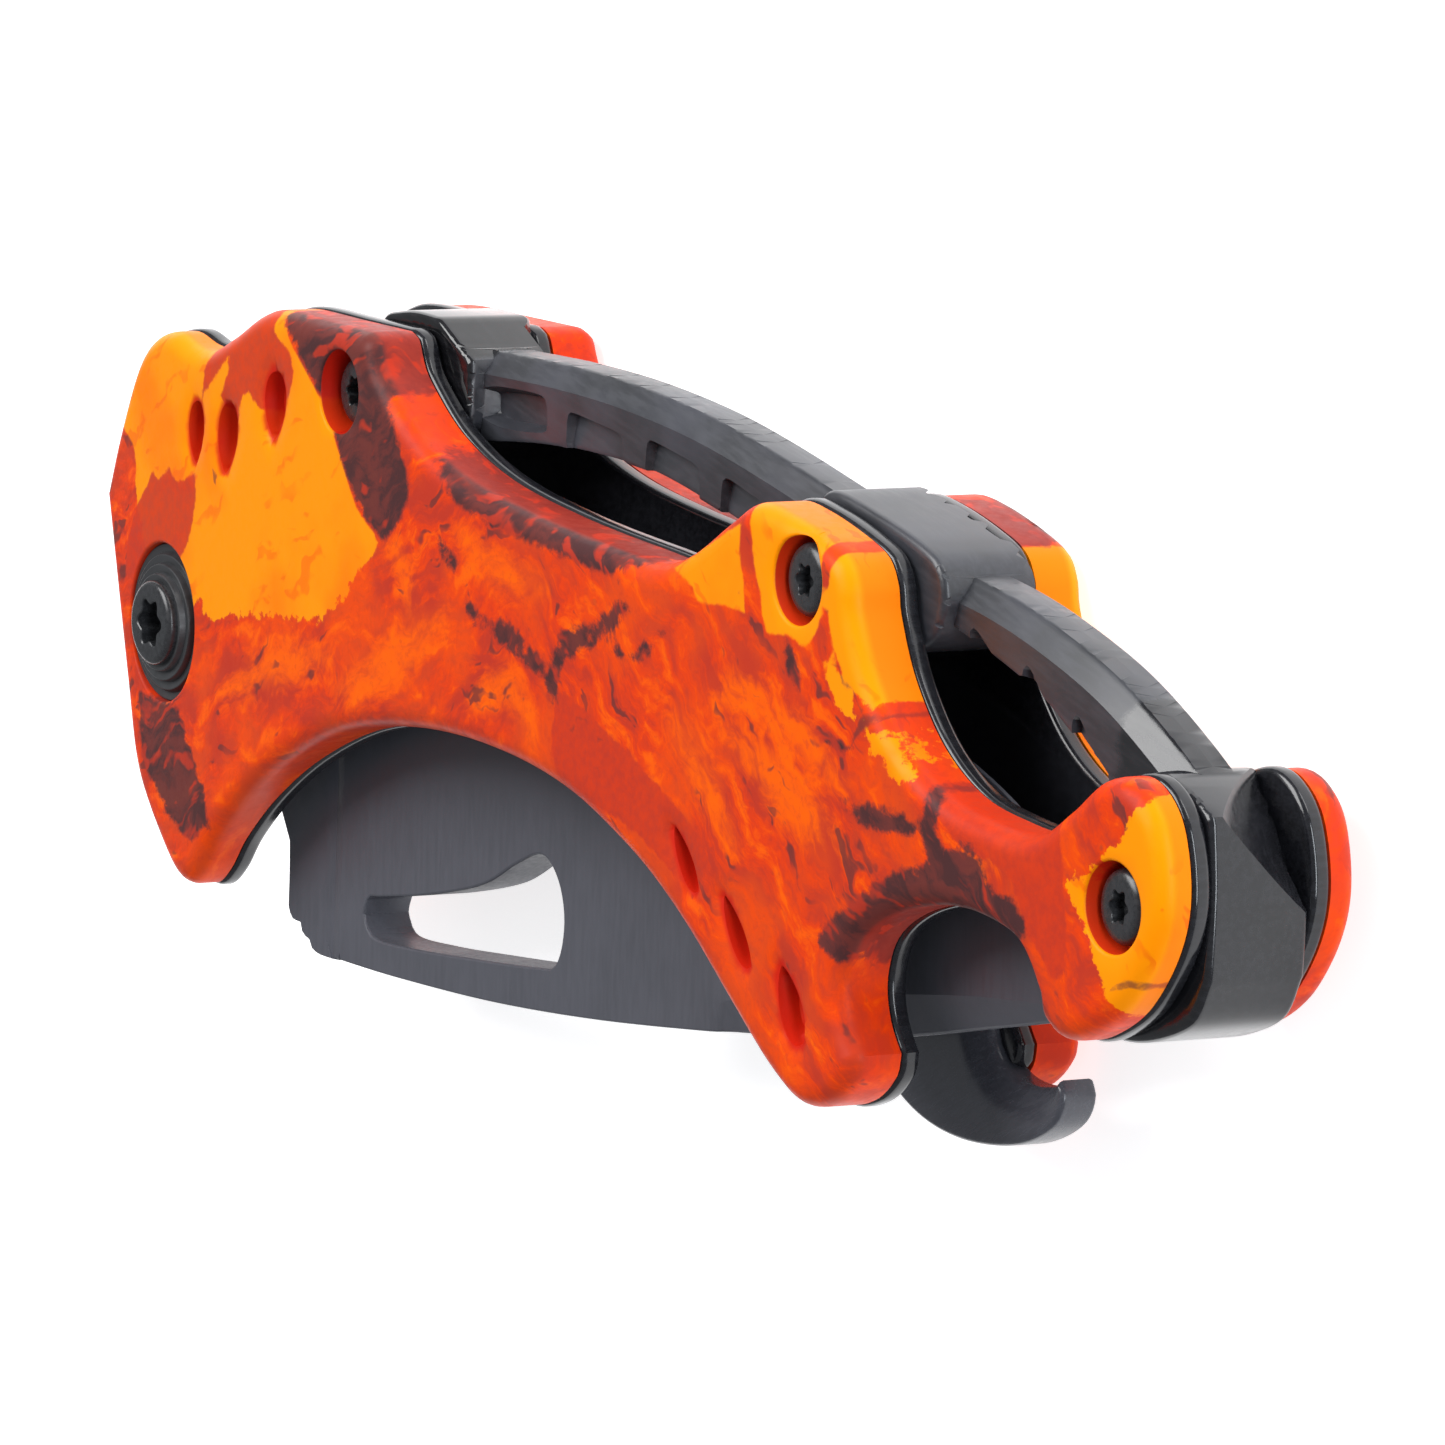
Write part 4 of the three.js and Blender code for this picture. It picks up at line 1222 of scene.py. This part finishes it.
def dark_metal(name, color, worn, roughness, grain_turn, grain_size, metallic=0.0, shine=0.5, bump=0.1):
    """A blackened or coated metal with directional grain, rubbed lighter in places."""
    graph = Graph(name)
    position = graph.position()
    grain = graph.noise(graph.mapped(position, turn=grain_turn, size=grain_size), 3.0, 5, 0.65)
    patina = graph.noise(position, 0.18, 4, 0.6)
    dust = graph.ramp(graph.noise(position, 2.4, 5, 0.75), 0.62, 0.78)
    tone = graph.mix(graph.ramp(grain, 0.35, 0.65, 0.0, 0.5), color, worn)
    tone = graph.mix(graph.ramp(patina, 0.4, 0.7, 0.0, 0.35), tone, worn)
    tone = graph.mix(graph.times(dust, 0.25), tone, worn)
    rough = graph.sum(graph.ramp(grain, 0.3, 0.7, roughness * 0.8, roughness * 1.15),
                      graph.ramp(patina, 0.3, 0.7, -0.03, 0.05))
    graph.set(Base_Color=tone, Roughness=rough)
    graph.set(Metallic=metallic, Specular_IOR_Level=shine)
    graph.bump(grain, bump, 0.00004)
    return graph.material


def spacer_material():
    """Satin black on the beam, and glossier and deeper black where the bosses are polished."""
    graph = Graph("satin_black")
    position = graph.position()
    polish = graph.attribute("polish")
    grain = graph.noise(graph.mapped(position, turn=-14, size=(7, 1, 1)), 2.6, 4, 0.6)
    patina = graph.noise(position, 0.16, 4, 0.55)
    satin = graph.mix(graph.ramp(patina, 0.35, 0.7), rgb(46, 47, 51), rgb(60, 61, 68))
    satin = graph.mix(graph.ramp(grain, 0.4, 0.7, 0.0, 0.4), satin, rgb(70, 71, 77))
    gloss = graph.mix(graph.ramp(grain, 0.4, 0.7), rgb(14, 14, 16), rgb(26, 26, 29))
    graph.set(Base_Color=graph.mix(polish, satin, gloss))
    rough = graph.blend(polish, 0.34, 0.1)
    graph.set(Roughness=graph.sum(rough, graph.ramp(grain, 0.3, 0.7, -0.03, 0.04)))
    graph.set(Specular_IOR_Level=0.5)
    graph.bump(grain, 0.06, 0.00004)
    return graph.material


def floor_material():
    graph = Graph("pale_floor")
    tone = graph.noise(graph.node("TexCoord").outputs["Object"], 3.0, 3, 0.5)
    graph.set(Base_Color=graph.mix(tone, (0.86, 0.86, 0.87, 1), (0.9, 0.9, 0.9, 1)), Roughness=0.95)
    graph.set(Emission_Color=(1, 1, 1, 1), Emission_Strength=0.7)
    graph.set(Specular_IOR_Level=0.1)
    return graph.material


def main():
    add_camera()
    add_studio()
    floor = add_floor()
    floor.data.materials.append(floor_material())

    liner = dark_metal("black_oxide", rgb(20, 20, 23), rgb(40, 41, 46), 0.16, 0, (1, 1, 6), bump=0.04)
    blade = dark_metal("coated_blade", rgb(78, 79, 86), rgb(88, 89, 97), 0.42, 92, (9, 1, 1), shine=0.3,
                       bump=0.04)
    opener = dark_metal("satin_opener", rgb(66, 67, 74), rgb(80, 81, 89), 0.26, 30, (5, 1, 1), bump=0.04)
    screw = dark_metal("black_screw", rgb(36, 37, 39), rgb(56, 57, 60), 0.28, 20, (1, 1, 1))
    disc = dark_metal("satin_disc", rgb(48, 49, 51), rgb(58, 59, 61), 0.38, 0, (1, 1, 4), bump=0.03)
    steel = dark_metal("turned_steel", rgb(150, 152, 156), rgb(190, 192, 196), 0.3, 0, (1, 1, 5), 1.0)
    bronze = dark_metal("bronze", rgb(150, 110, 60), rgb(186, 146, 90), 0.35, 0, (1, 1, 5), 1.0)

    build_scale("front_scale", 1, print_material("front_print", 0.0))
    build_scale("back_scale", -1, print_material("back_print", 40.0))
    build_liner("front_liner", 1, liner)
    build_liner("back_liner", -1, liner)
    build_lock_bar(liner)
    build_blade(blade)
    build_spacer(spacer_material())
    build_opener(opener)
    build_screws(screw)
    build_disc(disc)
    build_pivot(screw)
    plain = {
        steel: ["detent_ball", "opener_rivet_1", "opener_rivet_2", "stop_pin", "spacer_sleeve_1",
                "spacer_sleeve_2", "spacer_sleeve_3"],
        bronze: ["front_washer", "back_washer"],
    }
    for material, names in plain.items():
        for name in names:
            data = frame["nodes"][name].data
            data.materials.clear()
            data.materials.append(material)


main()
